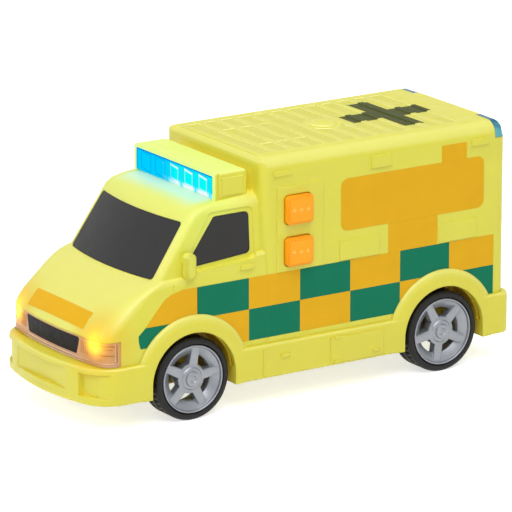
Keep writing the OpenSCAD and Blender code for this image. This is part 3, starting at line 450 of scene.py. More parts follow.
def pad_printed_ink():
    """Ink, pad printed on the roof: matt, and thin enough for the ribs to show."""
    mat, tree, shader, _ = finish(
        "pad_printed_olive_ink", colours().olive_ink, tone=(0.85, 1.15, 6), rough=(0.5, 0.65, 3),
        grain=(0.5, 0.005), edge=0.2, IOR=1.5, Specular_IOR_Level=0.1,
    )
    # Its steep flanks get painted light, a lighter olive, as the shell's do.
    level_flanks(tree, shader, 1.0, colours().lit_ink)
    return mat


def silver_painted_hub():
    """Polystyrene, moulded and sprayed silver: a soft metallic sheen with fine flake."""
    mat, tree, shader, point = finish(
        "silver_sprayed_polystyrene", colours().silver, tone=(0.86, 1.14, 3),
        rough=(0.3, 0.42, 2), grain=(0.35, 0.006), edge=0.25,
    )
    # Flakes are about 0.03 mm; drawn at 0.4 mm so that they show.
    flakes = add(tree, "ShaderNodeTexVoronoi", {"Vector": point, "Scale": per_metre(0.4)})
    glint = add(tree, RANGE, (flakes.outputs["Color"], 0.0, 1.0, 0.45, 0.75))
    tree.links.new(glint.outputs[0], shader.inputs["Metallic"])
    return mat


def soft_pvc_tyre():
    """PVC, moulded soft: near black, dull, with dust held in the grain."""
    return finish(
        "moulded_soft_pvc", colours().tyre, tone=(0.8, 1.35, 4), rough=(0.45, 0.6, 2),
        grain=(0.5, 0.012), edge=0.12, IOR=1.52, Specular_IOR_Level=0.25,
    )[0]


# Light bar: width of one lamp in its row of five, and how far each lamp's block leans.
LAMP_WIDE, LAMP_GAPS = 4.6, 4
BLOCK_LEAN = -0.12


def lit_blue_polycarbonate():
    """Polycarbonate, moulded clear blue and lit from behind: deep blue along the edges of the
    moulded blocks, nearly white over and under the lamps that are on at the left end."""
    palette = colours()
    mat, tree, shader, point = finish(
        "lit_blue_polycarbonate", palette.deep_blue, tone=(0.01, 0.02, 6), rough=(0.12, 0.2, 4),
        grain=(0.8, 0.006), edge=0.25, IOR=1.58, Specular_IOR_Level=0.0, Emission_Strength=0.98,
    )
    low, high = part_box("light_bar_lens")
    lamps_low, lamps_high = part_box("light_bar_leds")
    half = (lamps_high.y - lamps_low.y - LAMP_WIDE * MM) / LAMP_GAPS / 2
    axes = add(tree, AXES, (point,))
    along, height = axes.outputs["Y"], axes.outputs["Z"]

    # Each lamp's block: distance from its middle line, height over the lens's middle, and the
    # larger of the two as a square that leans like the moulded cells behind the lens.
    across = add(tree, MATH, (along, half, -half), operation="WRAP")
    off_mid = add(tree, MATH, (across,), operation="ABSOLUTE")
    above = add(tree, MATH, (height, (low.z + high.z) / 2), operation="SUBTRACT")
    leant = add(tree, MATH, (across, BLOCK_LEAN, above), operation="MULTIPLY_ADD")
    upright = add(tree, MATH, (leant,), operation="ABSOLUTE")
    block = add(tree, MATH, (off_mid, upright), operation="MAXIMUM")

    # Cyan in front of the lamps that are on.
    on = overlap(tree, (along, 9 * MM, -4 * MM, 1.0))
    spread = add(
        tree, RANGE, (block, 5.0 * MM, 1.5 * MM, 0.7, 1.0), interpolation_type="SMOOTHSTEP"
    )
    lit = add(tree, MATH, (spread, on), operation="MULTIPLY")

    # White on each block's frame, under its top edge and at the lens's foot.
    offset = add(tree, MATH, (block, 2.55 * MM), operation="SUBTRACT")
    ring = add(tree, MATH, (offset,), operation="ABSOLUTE")
    frame_line = overlap(tree, (ring, 0.6 * MM, 0.1 * MM, 0.25))
    cap = add(tree, MATH, (leant, 2.3 * MM, 0.36 * MM), operation="COMPARE")
    cap_wide = overlap(tree, (off_mid, 3.1 * MM, 2.4 * MM, 0.75))
    cap = add(tree, MATH, (cap, cap_wide), operation="MULTIPLY")
    foot = overlap(
        tree, (above, -1.9 * MM, -3.4 * MM, 1.0), (off_mid, 5.0 * MM, 2.6 * MM, 1.0)
    )
    pale = add(tree, MATH, (frame_line, cap), operation="MAXIMUM")
    pale = add(tree, MATH, (pale, foot), operation="ADD")
    white = add(tree, MATH, (pale, on), operation="MULTIPLY", use_clamp=True)

    # Deep blue round each block, under the brow and at the lens's ends.
    edge = add(tree, MATH, (block, 3.15 * MM, 0.25 * MM), operation="COMPARE")
    edge = add(tree, MATH, (edge, 0.4), operation="MULTIPLY")
    brow = overlap(tree, (above, 3.1 * MM, 3.8 * MM, 0.85))
    end = add(tree, MATH, (along,), operation="ABSOLUTE")
    ends = overlap(tree, (end, 24.4 * MM, 25.3 * MM, 0.85))
    dark = add(tree, MATH, (edge, brow), operation="MAXIMUM")
    dark = add(tree, MATH, (dark, ends), operation="MAXIMUM")

    tint = rgba(palette.lit_blue)
    for share, key in ((lit, "lit_cyan"), (dark, "deep_blue"), (white, "lit_core")):
        layers = {0: share, 6: tint, 7: rgba(getattr(palette, key))}
        tint = add(tree, MIX, layers, data_type="RGBA")
    tree.links.new(tint.outputs[2], shader.inputs["Emission Color"])
    return mat


def tinted_polycarbonate():
    """Polycarbonate, moulded clear blue over white: teal where the light comes back through it,
    with painted shade of a deeper blue where it faces up, dark as one looks along the wall
    from above."""
    mat, tree, shader, _ = finish(
        "moulded_teal_polycarbonate", colours().teal_lens, tone=(0.6, 1.25, 3),
        rough=(0.08, 0.16, 4), grain=(0.8, 0.004), edge=0.5, IOR=1.58, Specular_IOR_Level=0.15,
        Transmission_Weight=0.1,
    )
    # Painted shade: a deeper blue on the faces that turn up.
    rise = upward(tree, "Normal")
    tinge(tree, shader, overlap(tree, (rise, 0.35, 0.9, 1.0)), colours().blue_lens)
    return mat


def clear_polystyrene(name, key):
    """Polystyrene, moulded clear with fluting: the shell shows warm behind it, milky where the
    light scatters in the flutes, and painted amber light round the lamps."""
    mat, tree, shader, point = finish(
        name, getattr(colours(), key), tone=(0.75, 1.15, 2.5), rough=(0.1, 0.2, 3),
        grain=(0.8, 0.004), edge=0.3, IOR=1.59, Specular_IOR_Level=0.1, Transmission_Weight=0.1,
    )
    warm = colours().lamp_lit_lens
    lamp_glow(tree, shader, point, reach_mm=7.0, strength=1.0, warm=warm, warm_mm=15)
    return mat


def lit_epoxy(name, code, strength):
    """Epoxy, cast round a lit chip: bright from within, with a faint swirl."""
    return finish(
        name, linear(code), tone=(0.9, 1.1, 1.5), rough=(0.1, 0.2, 1), grain=(0.4, 0.002),
        edge=0.1, IOR=1.55, Emission_Color=rgba(linear(code)), Emission_Strength=strength,
    )[0]


def worked_metal(name, code, rough):
    """Steel, rolled and plated: grey with fine drawing marks."""
    return finish(
        name, linear(code), tone=(0.88, 1.08, 2), rough=(rough - 0.06, rough + 0.08, 1.5),
        grain=(0.25, 0.004), edge=0.12, Metallic=1.0,
    )[0]


def plain_resin(name, code, rough, tone_mm=4):
    """Moulded or pressed inner pieces: one colour with a dull, slightly uneven skin."""
    return finish(
        name, linear(code), tone=(0.85, 1.15, tone_mm), rough=(rough - 0.06, rough + 0.08, 2),
        grain=(0.4, 0.004), edge=0.15, IOR=1.52,
    )[0]


# Shapes

JOIN = 0.002 * MM
CREASE = math.radians(28)


def soft_shading():
    """Modifier group: joins the frame's split corners and shades its curved faces smoothly."""
    name = "soft_shading"
    if name in bpy.data.node_groups:
        return bpy.data.node_groups[name]
    tree = bpy.data.node_groups.new(name, "GeometryNodeTree")
    for way in ("INPUT", "OUTPUT"):
        tree.interface.new_socket("Geometry", in_out=way, socket_type="NodeSocketGeometry")
    shape = add(tree, "NodeGroupInput").outputs[0]
    for kind, sockets, settings in (
        ("GeometryNodeRemoveAttribute", {"Name": "custom_normal"}, {}),
        ("GeometryNodeMergeByDistance", {"Distance": JOIN}, {}),
        ("GeometryNodeSetShadeSmooth", {"Shade Smooth": True}, {"domain": "FACE"}),
    ):
        shape = add(tree, kind, {"Geometry": shape, **sockets}, **settings)
    angle = add(tree, "GeometryNodeInputMeshEdgeAngle").outputs["Unsigned Angle"]
    crease = add(
        tree, "FunctionNodeCompare", (angle, CREASE), data_type="FLOAT", operation="GREATER_THAN"
    )
    sharp = {"Geometry": shape, "Selection": crease, "Shade Smooth": False}
    shape = add(tree, "GeometryNodeSetShadeSmooth", sharp, domain="EDGE")
    add(tree, "NodeGroupOutput", (shape,))
    return tree


def soften(piece):
    """Adds the shading group to a piece."""
    piece.modifiers.new("soft_shading", "NODES").node_group = soft_shading()


def dress(material, *names):
    """Gives CAD nodes their finish and their shading."""
    for name in names:
        node = NODES[name]
        if node.material_slots:
            for slot in node.material_slots:
                slot.material = material
        else:
            node.data.materials.append(material)
        soften(node)


def new_piece(name, bm, materials, body, node=None):
    """A finished mesh as a piece that rides on a body, in place of a CAD node if one is given."""
    mesh = bpy.data.meshes.new(name)
    bm.to_mesh(mesh)
    bm.free()
    piece = bpy.data.objects.new(name, mesh)
    bpy.context.scene.collection.objects.link(piece)
    for material in materials:
        mesh.materials.append(material)
    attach(piece, body)
    if node:
        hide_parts(node)
        soften(piece)
    return piece


def surface_of(node):
    """Search tree over the faces of a CAD node."""
    mesh = NODES[node].data
    points = [v.co.copy() for v in mesh.vertices]
    return BVHTree.FromPolygons(points, [list(p.vertices) for p in mesh.polygons])


def arc(cx, cy, r, a0, a1, steps):
    """Points of an arc, angles in degrees."""
    turns = [math.radians(a0 + (a1 - a0) * i / steps) for i in range(steps + 1)]
    return [(cx + r * math.cos(t), cy + r * math.sin(t)) for t in turns]


def rect(x0, y0, x1, y1):
    return [(x0, y0), (x1, y0), (x1, y1), (x0, y1)]


def round_rect(x0, y0, x1, y1, r):
    return (
        arc(x0 + r, y0 + r, r, 180, 270, 6)
        + arc(x1 - r, y0 + r, r, 270, 360, 6)
        + arc(x1 - r, y1 - r, r, 0, 90, 6)
        + arc(x0 + r, y1 - r, r, 90, 180, 6)
    )


def sweep(bm, rings, closed):
    """Faces between rings of points; a closed sweep joins the last ring to the first."""
    for a, b in zip(rings, rings[1:] + (rings[:1] if closed else [])):
        for k in range(len(a)):
            n = (k + 1) % len(a)
            bm.faces.new((a[k], a[n], b[n], b[k]))


# Films

FILM_THICK = 0.04
# Cells of a plain film, of one that is cut, of the lens's ridges and of the bonnet's strip.
CELL, FINE_CELL, RIDGE_CELL, STRIP_CELL = 2.2, 1.1, 1.0, 1.2
# How far off the middle the rays start that lay a film.
RAY_OFF = 60


def flat_film(patches, step):
    """Flat patches, each an outline and a material number, cut into cells of one step."""
    bm = bmesh.new()
    for outline, number in patches:
        face = bm.faces.new([bm.verts.new((u, v, 0)) for u, v in outline])
        face.material_index = number
    bmesh.ops.remove_doubles(bm, verts=bm.verts, dist=0.01)
    for axis in (0, 1):
        values = [v.co[axis] for v in bm.verts]
        line = math.floor(min(values) / step) + 1
        while line * step < max(values):
            at, normal = Vector(), Vector()
            at[axis], normal[axis] = line * step, 1
            bmesh.ops.bisect_plane(
                bm, geom=bm.verts[:] + bm.edges[:] + bm.faces[:], plane_co=at, plane_no=normal
            )
            line += 1
    return bm


def lay_film(bm, surface, aim, lift):
    """Drops a flat film's points on a surface, each along its own aim, and lifts them off it."""
    for vert in bm.verts:
        begin, along = aim(vert.co.x, vert.co.y)
        hit, _, _, _ = surface.ray_cast(begin, along)
        if hit is None:
            raise RuntimeError(f"the film misses the surface at {tuple(vert.co)}")
        vert.co = hit - along * lift


def film_piece(name, bm, materials, thick):
    """A laid film as a piece on the body, with its thickness in millimetres."""
    solid = new_piece(name, bm, materials, "body").modifiers.new("thickness", "SOLIDIFY")
    solid.thickness = thick * MM
    solid.offset = -1


def side_film(name, patches, side, cut=None):
    """A film laid on one side of the shell; cut drops the cells that lie under the arches."""
    bm = flat_film(patches, FINE_CELL if cut else CELL)
    if cut:
        hidden = [f for f in bm.faces if all(cut(v.co.x, v.co.y) for v in f.verts)]
        bmesh.ops.delete(bm, geom=hidden, context="FACES")
    sign = SIDES[side]
    inward = Vector((0, -sign, 0))

    def aim(x, z):
        return place(x, sign * RAY_OFF, z), inward

    lay_film(bm, surface_of("body_shell"), aim, sizes().film_lift)
    if sign > 0:
        bmesh.ops.reverse_faces(bm, faces=bm.faces[:])
    film_piece(f"{name}_{side}", bm, films_of(), FILM_THICK)


# Radius inside an arch band's middle, where a film may end unseen.
ARCH_MIDDLE = 21.2

# Lines between the checks along the toy, and the curves in which the two rows start on the wing.
CHECK_COLUMNS = [2.4, 24.1, 45.9, 67.6, 89.4, 111.2, 131.1]
CHECK_TIP = -19.1
CHECK_BROW = -4.0
CHECK_NOSE = [(-8.7, 47.3), (-10.9, 46.1), (-12.9, 44.1), (-15.4, 41.2), (-17.9, 38.3)]
CHECK_CHIN = [(-22.0, 34.3), (-21.9, 32.0), (-21.2, 29.5), (-12.9, 29.5)]
CHECK_CHIN_END = -8.0


def under_arch(x, z):
    return any(math.hypot(x - axle, z - AXLE_Z) < ARCH_MIDDLE for axle in (0, WHEELBASE))


def check_patches():
    """The two rows of checks: orange 0, green 1."""
    low, mid, top = (v / MM for v in (sizes().check_low, sizes().check_mid, sizes().check_top))
    first = CHECK_COLUMNS[0]
    nose = [(first, mid), (first, top), (CHECK_BROW, top), *CHECK_NOSE, (CHECK_TIP, mid)]
    chin = [(CHECK_TIP, mid), *CHECK_CHIN, (CHECK_CHIN_END, mid)]
    patches = [(nose[::-1], 0), (chin, 1)]
    for i, (x0, x1) in enumerate(zip(CHECK_COLUMNS, CHECK_COLUMNS[1:])):
        patches.append((rect(x0, mid, x1, top), (i + 1) % 2))
        patches.append((rect(x0, low, x1, mid), i % 2))
    return patches


# Operators


class AMBULANCE_OT_mouldings(bpy.types.Operator):
    """Finish the yellow shell, chassis, light bar cover and battery cover"""

    bl_idname = "ambulance.mouldings"
    bl_label = "Yellow mouldings"

    def execute(self, context):
        dress(moulded_yellow_abs("moulded_yellow_abs", "yellow", SHELL_CORNER_SHADING), "body_shell")
        lower = moulded_yellow_abs("moulded_lower_yellow_abs", "lower_yellow", LOWER_CORNER_SHADING)
        dress(lower, "chassis", "battery_cover")
        dress(lit_yellow_abs(), "light_bar_housing")
        return {"FINISHED"}


class AMBULANCE_OT_panes(bpy.types.Operator):
    """Finish the windscreen, the windows and the grille"""

    bl_idname = "ambulance.panes"
    bl_label = "Panes and grille"

    def execute(self, context):
        windows = ("door_window_left", "door_window_right", "rear_door_windows")
        dress(moulded_black_panes(), "windscreen", *windows)
        dress(grained_black_grille(), "grille_panel")
        return {"FINISHED"}


# Radii of the corner lenses' outer ball along the toy, over it and upright.
LENS_BALL = Vector((3.6, 5.2, 5.2)) * MM

# How far a ridge on the headlamp lens stands out, and its thickness.
RIDGE_LIFT, RIDGE_THICK = 0.18, 0.24
# Ridges are laid in degrees round a point behind the nose, and heights over the lens's foot, or
# under its head where negative: first and last turn, foot, head, and pale 0 or dark 1.
NOSE_MIDDLE = -10
FOOT_LINES = [(-57, 57, 1.2, 1.55, 0), (-57, 57, 0.25, 0.5, 0)]
LAMP_LINES = [
    (46, 56, -1.3, -0.95, 1), (50, 55, -2.5, -2.3, 1), (48, 56, 4.2, 4.5, 1),
    (56.3, 56.8, 2.0, -0.6, 0), (57.2, 57.6, 2.0, -0.6, 1),
]
# Flutes in front of each lamp: their number, first turn, step, half width, foot and head.
FLUTES, FLUTE_TURN, FLUTE_STEP, FLUTE_HALF = 6, 34.6, 1.7, 0.35
FLUTE_FOOT, FLUTE_HEAD = 3.4, -1.3


class AMBULANCE_OT_lamps(bpy.types.Operator):
    """Finish the lenses and light the lamps behind them"""

    bl_idname = "ambulance.lamps"
    bl_label = "Lamps and lenses"

    def execute(self, context):
        dress(lit_blue_polycarbonate(), "light_bar_lens")
        tinted = tinted_polycarbonate()
        for side, sign in SIDES.items():
            self.corner_lens(f"rear_corner_lens_{side}", sign, tinted)
        clear = clear_polystyrene("moulded_clear_polystyrene", "clear_lens")
        dress(clear, "headlamp_lens")
        pale = clear_polystyrene("moulded_pale_polystyrene", "lens_foot")
        dark = clear_polystyrene("moulded_clear_polystyrene_edge", "lens_edge")
        self.ridges("lens_ridges", FOOT_LINES + self.both_lamps(LAMP_LINES), [pale, dark])
        turns = [FLUTE_TURN + FLUTE_STEP * i for i in range(FLUTES)]
        flutes = [(t - FLUTE_HALF, t + FLUTE_HALF, FLUTE_FOOT, FLUTE_HEAD, 0) for t in turns]
        self.ridges("lens_flutes", self.both_lamps(flutes), [clear])
        dress(lit_epoxy("lit_amber_epoxy", "#FFB020", 3.0), "headlamp_leds")
        dress(lit_epoxy("lit_blue_epoxy", "#9FE6FF", 3.0), "light_bar_leds")
        return {"FINISHED"}

    def corner_lens(self, node, sign, tinted):
        """The frame's lens with its outer corner drawn in to a ball, as it is moulded."""
        low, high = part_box(node)
        outer = Vector((high.x, high.y if sign > 0 else low.y, high.z))
        ways = Vector((1, sign, 1))
        heart = outer - ways * LENS_BALL
        bm = bmesh.new()
        bm.from_mesh(NODES[node].data)
        bmesh.ops.remove_doubles(bm, verts=bm.verts[:], dist=JOIN)
        for vert in bm.verts:
            off = [(vert.co[i] - heart[i]) * ways[i] / LENS_BALL[i] for i in range(3)]
            size = math.sqrt(sum(o * o for o in off))
            if min(off) > 0 and size > 1:
                vert.co = heart + ways * LENS_BALL * Vector(off) / size
        new_piece(f"rounded_{node}", bm, [tinted], "body", node)

    def both_lamps(self, lines):
        """Lines round the right lamp, and their mirror images round the left one."""
        return [(-last, -first, *rest) for first, last, *rest in lines] + lines

    def ridges(self, name, lines, materials):
        """Ridges that follow the headlamp lens."""
        low, high = (corner.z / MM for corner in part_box("headlamp_lens"))
        patches = []
        for first, last, foot, head, number in lines:
            foot, head = ((low if z > 0 else high) + z for z in (foot, head))
            patches.append((rect(first, foot, last, head), number))
        bm = flat_film(patches, RIDGE_CELL)

        def aim(turn, z):
            way = Vector((-math.cos(math.radians(turn)), math.sin(math.radians(turn)), 0))
            return place(NOSE_MIDDLE, 0, z) + way * RAY_OFF * MM, -way

        lay_film(bm, surface_of("headlamp_lens"), aim, RIDGE_LIFT * MM)
        bmesh.ops.reverse_faces(bm, faces=bm.faces[:])
        film_piece(name, bm, materials, RIDGE_THICK)


# Dots on the buttons: their radius, height and spacing, the points round one, and the shares of
# its radius at which its dome has rings.
DOT_R, DOT_RISE, DOT_STEP, DOT_SIDES = 0.72, 0.4, 3, 24
DOT_RINGS = (1.0, 0.9, 0.7, 0.4)


class AMBULANCE_OT_keys(bpy.types.Operator):
    """Finish the push buttons and the switches behind them"""

    bl_idname = "ambulance.keys"
    bl_label = "Push buttons"

    def execute(self, context):
        orange = moulded_orange_abs("moulded_orange_abs", "orange_key")
        dress(orange, "upper_button", "lower_button")
        # The dots get a paler orange as a painted highlight.
        pale = moulded_orange_abs("moulded_orange_abs_worn", "worn_key")
        for end in ("upper", "lower"):
            self.dots(end, pale)
        nylon = plain_resin("moulded_black_nylon", "#232324", 0.45)
        dress(nylon, "upper_plunger", "lower_plunger", "key_switches")
        return {"FINISHED"}

    def dots(self, end, pale):
        """Three low domes across a button's face, over the frame's own dots, in a paler orange
        that is a painted highlight.
        """
        key = f"{end}_button"
        mid, front = middle(key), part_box(key)[0].y
        bm = bmesh.new()
        for off in (-DOT_STEP, 0, DOT_STEP):
            rings = []
            for share in DOT_RINGS:
                depth = DOT_RISE - DOT_RISE * math.sqrt(1 - share * share)
                ring = arc(
                    mid.x + off * MM, mid.z, DOT_R * share * MM, 0, 360 - 360 / DOT_SIDES,
                    DOT_SIDES - 1,
                )
                rings.append([bm.verts.new((x, front + depth * MM, z)) for x, z in ring])
            sweep(bm, rings, False)
            bm.faces.new(rings[-1])
        bmesh.ops.recalc_face_normals(bm, faces=bm.faces[:])
        for face in bm.faces:
            face.smooth = True
        new_piece(f"{key}_dots", bm, [pale], f"{end}_key")


class AMBULANCE_OT_works(bpy.types.Operator):
    """Finish the boards, the speaker, the cells, their contacts and the screws"""

    bl_idname = "ambulance.works"
    bl_label = "Inner works"

    def execute(self, context):
        board = plain_resin("solder_masked_fibreglass", "#1C6B3C", 0.4)
        dress(board, "circuit_board", "light_bar_board")
        dress(plain_resin("potted_black_epoxy", "#1B1B1C", 0.3), "sound_chip")
        dress(plain_resin("pressed_paper_cone", "#2E2D2F", 0.8, 2), "speaker_cone")
        nickel = worked_metal("nickel_plated_steel", "#B9B8B4", 0.28)
        dress(nickel, "button_cells", "cell_spring_contact", "cell_end_contact", "speaker_frame")
        zinc = worked_metal("zinc_plated_steel", "#A9ABB0", 0.36)
        dress(zinc, "board_screws", "battery_cover_screw", "body_screws", "front_axle", "rear_axle")
        return {"FINISHED"}


# Radius and rise over the tyre's outer face of the hub's two lathed sections.
HUB_RIM = [
    (8.6, -4.6), (8.6, -2.75), (8.8, -2.5), (11.55, -0.85), (11.72, -0.5), (11.78, -0.1),
    (11.95, 0.07), (12.2, 0.1), (12.38, -0.05), (12.4, -1.0), (11.6, -1.0), (11.6, -10.6),
    (10.4, -10.6), (10.4, -4.6),
]
HUB_BOSS = [
    (0.0, -2.0), (1.5, -2.0), (1.5, -12.6), (3.4, -12.6), (3.4, -4.6), (5.5, -4.6), (5.5, -1.7),
    (5.35, -1.4), (5.0, -1.22), (4.3, -1.15), (4.05, -0.95), (3.85, -0.7), (3.6, -0.62),
    (2.9, -0.6), (2.75, -0.1), (2.6, 0.12), (2.35, 0.2), (1.4, 0.2), (1.25, 0.08), (1.1, -0.18),
    (0.0, -0.2),
]
HUB_SIDES, SPOKES = 120, 5
# Radius, half width and top of a spoke's ends; side, inset and drop of its section's corners, with
# no drop for a corner at its foot.
HUB_SPOKE = [(4.2, 1.85, -1.3), (9.5, 1.65, -1.12), (11.3, 1.58, -1.06)]
SPOKE_SECTION = [
    (-1, 0.0, None), (-1, 0.0, 0.4), (-1, 0.1, 0.12), (-1, 0.4, 0.0),
    (1, 0.4, 0.0), (1, 0.1, 0.12), (1, 0.0, 0.4), (1, 0.0, None),
]
SPOKE_FOOT = -4.4
# Where the frame's own spokes have their outer ends: least radius, and depth under the tyre's face.
SPOKE_END_R, SPOKE_END_DEPTH = 10.5, 1.2

# Tyre: radii of its seat and its lip, radius of its shoulders, depths between which the tread is
# notched, and the two grooves' places across it, half widths and depth.
TYRE_SEAT, TYRE_LIP, TYRE_CORNER = 11.6, 12.4, 1.4
NOTCH_SPAN, NOTCH_WALL = (1.5, 3.45), 0.05
GROOVES, GROOVE_HALF, GROOVE_DEPTH, GROOVE_WALL = (0.36, 0.64), 0.5, 0.5, 0.1
# Steps round the tyre for one notch, and how many of them are cut.
NOTCH_STEPS, NOTCH_CUT = 8, 3


def wheel_point(bm, wheel, angle, r, rise):
    """A point at an angle and a radius round a wheel's axle, and a rise over its outer face."""
    axle, sign, face = wheel
    x, z = axle.x + r * MM * math.cos(angle), axle.z + r * MM * math.sin(angle)
    return bm.verts.new((x, sign * (face + rise) * MM, z))


class AMBULANCE_OT_wheels(bpy.types.Operator):
    """Put plain-spoked hubs and notched tyres on the axles"""

    bl_idname = "ambulance.wheels"
    bl_label = "Wheels"

    def execute(self, context):
        rubber, silver = soft_pvc_tyre(), silver_painted_hub()
        for end, axle in (("front", FRONT_AXLE), ("rear", REAR_AXLE)):
            for side, sign in SIDES.items():
                low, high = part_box(f"tyre_{end}_{side}")
                wheel = axle, sign, (high.y if sign > 0 else -low.y) / MM
                self.tyre(f"tyre_{end}_{side}", wheel, f"{end}_wheels", rubber)
                self.hub(f"hub_{end}_{side}", wheel, f"{end}_wheels", silver)
        return {"FINISHED"}

    def hub(self, node, wheel, body, silver):
        """A dished rim, a stepped boss on the axle, and five plain spokes between them."""
        bm = bmesh.new()
        turns = [2 * math.pi * i / HUB_SIDES for i in range(HUB_SIDES)]
        for section in (HUB_RIM, HUB_BOSS):
            rings = [[wheel_point(bm, wheel, turn, r, d) for r, d in section] for turn in turns]
            sweep(bm, rings, True)
        begin = self.spoke_turn(node, wheel)
        for i in range(SPOKES):
            self.spoke(bm, wheel, begin + 2 * math.pi * i / SPOKES)
        bmesh.ops.remove_doubles(bm, verts=bm.verts[:], dist=0.001 * MM)
        bmesh.ops.recalc_face_normals(bm, faces=bm.faces[:])
        new_piece(f"plain_{node}", bm, [silver], body, node)

    def spoke(self, bm, wheel, angle):
        """A bar with rounded edges from the boss to the rim."""
        rings = []
        for r, half, top in HUB_SPOKE:
            ring = []
            for share, inset, drop in SPOKE_SECTION:
                off = share * (half - inset)
                rise = SPOKE_FOOT if drop is None else top - drop
                turn = angle + math.atan2(off, r)
                ring.append(wheel_point(bm, wheel, turn, math.hypot(r, off), rise))
            rings.append(ring)
        sweep(bm, rings, False)
        bm.faces.new(rings[0][::-1])
        bm.faces.new(rings[-1])

    def spoke_turn(self, node, wheel):
        """Angle of one spoke, from the outer ends of the frame's spokes."""
        axle, sign, face = wheel
        total = 0
        for vert in NODES[node].data.vertices:
            x, z = (vert.co.x - axle.x) / MM, (vert.co.z - axle.z) / MM
            depth = face - sign * vert.co.y / MM
            if math.hypot(x, z) > SPOKE_END_R and abs(depth - SPOKE_END_DEPTH) < 0.05:
                turn = SPOKES * math.atan2(z, x)
                total += complex(math.cos(turn), math.sin(turn))
        return math.atan2(total.imag, total.real) / SPOKES

    def tyre(self, node, wheel, body, rubber):
        """A lathed tyre with notches all round both sides of its tread."""
        low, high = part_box(node)
        profile = self.profile((high.z - low.z) / 2 / MM, (high.y - low.y) / MM)
        deep = sizes().tread_depth / MM
        turns = sizes().tread_notches * NOTCH_STEPS
        bm = bmesh.new()
        rings = []
        for i in range(turns):
            angle = 2 * math.pi * i / turns
            bite = deep if i % NOTCH_STEPS < NOTCH_CUT else 0.0
            rings.append(
                [wheel_point(bm, wheel, angle, r - bite * cut, -d) for r, d, cut in profile]
            )
        sweep(bm, rings, True)
        bmesh.ops.recalc_face_normals(bm, faces=bm.faces[:])
        new_piece(f"notched_{node}", bm, [rubber], body, node)

    def profile(self, outer, width):
        """Radius, depth from the outer face, and share of the notch at the section's points."""
        lip, corner = TYRE_LIP, TYRE_CORNER
        rim = [(TYRE_SEAT, 1.0), (lip, 1.0), (lip + 0.2, 0.5), (lip + 0.6, 0.0), (lip + 0.9, 0.0)]
        points = [(r, d, 0) for r, d in rim + arc(outer - corner, corner, corner, -90, 0, 6)]
        first, last = NOTCH_SPAN
        notch = [(first, 0), (first + NOTCH_WALL, 1), (last - NOTCH_WALL, 1), (last, 0)]
        points.extend((outer, d, share) for d, share in notch)
        for mid in GROOVES:
            for off, drop in (
                (-GROOVE_HALF, 0), (GROOVE_WALL - GROOVE_HALF, GROOVE_DEPTH),
                (GROOVE_HALF - GROOVE_WALL, GROOVE_DEPTH), (GROOVE_HALF, 0),
            ):
                points.append((outer - drop, width * mid + off, 0))
        points.extend((outer, width - d, share) for d, share in notch[::-1])
        points.extend((r, d, 0) for r, d in arc(outer - corner, width - corner, corner, 0, 90, 6))
        points.append((TYRE_SEAT, width, 0))
        return points


class AMBULANCE_OT_checks(bpy.types.Operator):
    """Lay the two rows of checks on both sides"""

    bl_idname = "ambulance.checks"
    bl_label = "Checks"

    def execute(self, context):
        for side in SIDES:
            side_film("checks", check_patches(), side, under_arch)
        return {"FINISHED"}


# Orange films on the sides: outlines along the toy and in height, the panel's corner radius, and
# the gap that keeps them from running into each other.
PANEL, PANEL_R = (63.4, 59.6, 126.4, 79), 3
COLUMN = (84.1, 105.8)
TAB, TAB_TOP = (107.5, 118.6), 85.2
FILM_GAP = 0.02
# Strip on the bonnet: its foot and head along the toy and in height, its ends over the toy, and how
# far in front and above the rays start that lay it.
STRIP_FOOT, STRIP_HEAD = Vector((-37.2, 36.6)), Vector((-32.3, 41.5))
STRIP_ENDS, STRIP_OFF = (-18.6, 19.6), 15


class AMBULANCE_OT_panels(bpy.types.Operator):
    """Lay the orange panel, its tab and its column on both sides, and the strip on the bonnet"""

    bl_idname = "ambulance.panels"
    bl_label = "Orange panels"

    def execute(self, context):
        foot, head = PANEL[1], PANEL[3]
        checks = sizes().check_top / MM
        outlines = {
            "window_panel": round_rect(*PANEL, PANEL_R),
            "panel_column": rect(COLUMN[0], checks + FILM_GAP, COLUMN[1], foot - FILM_GAP),
            "number_tab": rect(TAB[0], head + FILM_GAP, TAB[1], TAB_TOP),
        }
        for side in SIDES:
            for name, outline in outlines.items():
                side_film(name, [(outline, 0)], side)
        self.bonnet_strip()
        return {"FINISHED"}

    def bonnet_strip(self):
        rise = STRIP_HEAD - STRIP_FOOT
        outline = rect(STRIP_ENDS[0], 0, STRIP_ENDS[1], rise.length)
        bm = flat_film([(outline, 0)], STRIP_CELL)
        rise.normalize()
        inward = Vector((1, 0, -1)).normalized()

        def aim(across, up):
            spot = STRIP_FOOT + rise * up
            return place(spot.x - STRIP_OFF, across, spot.y + STRIP_OFF), inward

        lay_film(bm, surface_of("body_shell"), aim, sizes().film_lift)
        bmesh.ops.reverse_faces(bm, faces=bm.faces[:])
        film_piece("bonnet_strip", bm, films_of()[:1], FILM_THICK)


# Roof cross: its middle along the toy, the reach of its arms along and over the toy, and how far
# under the roof's top it is printed.
CROSS_MIDDLE, CROSS_REACH, CROSS_SPAN, PRINT_REACH = 104.7, 17, 18.6, 0.9


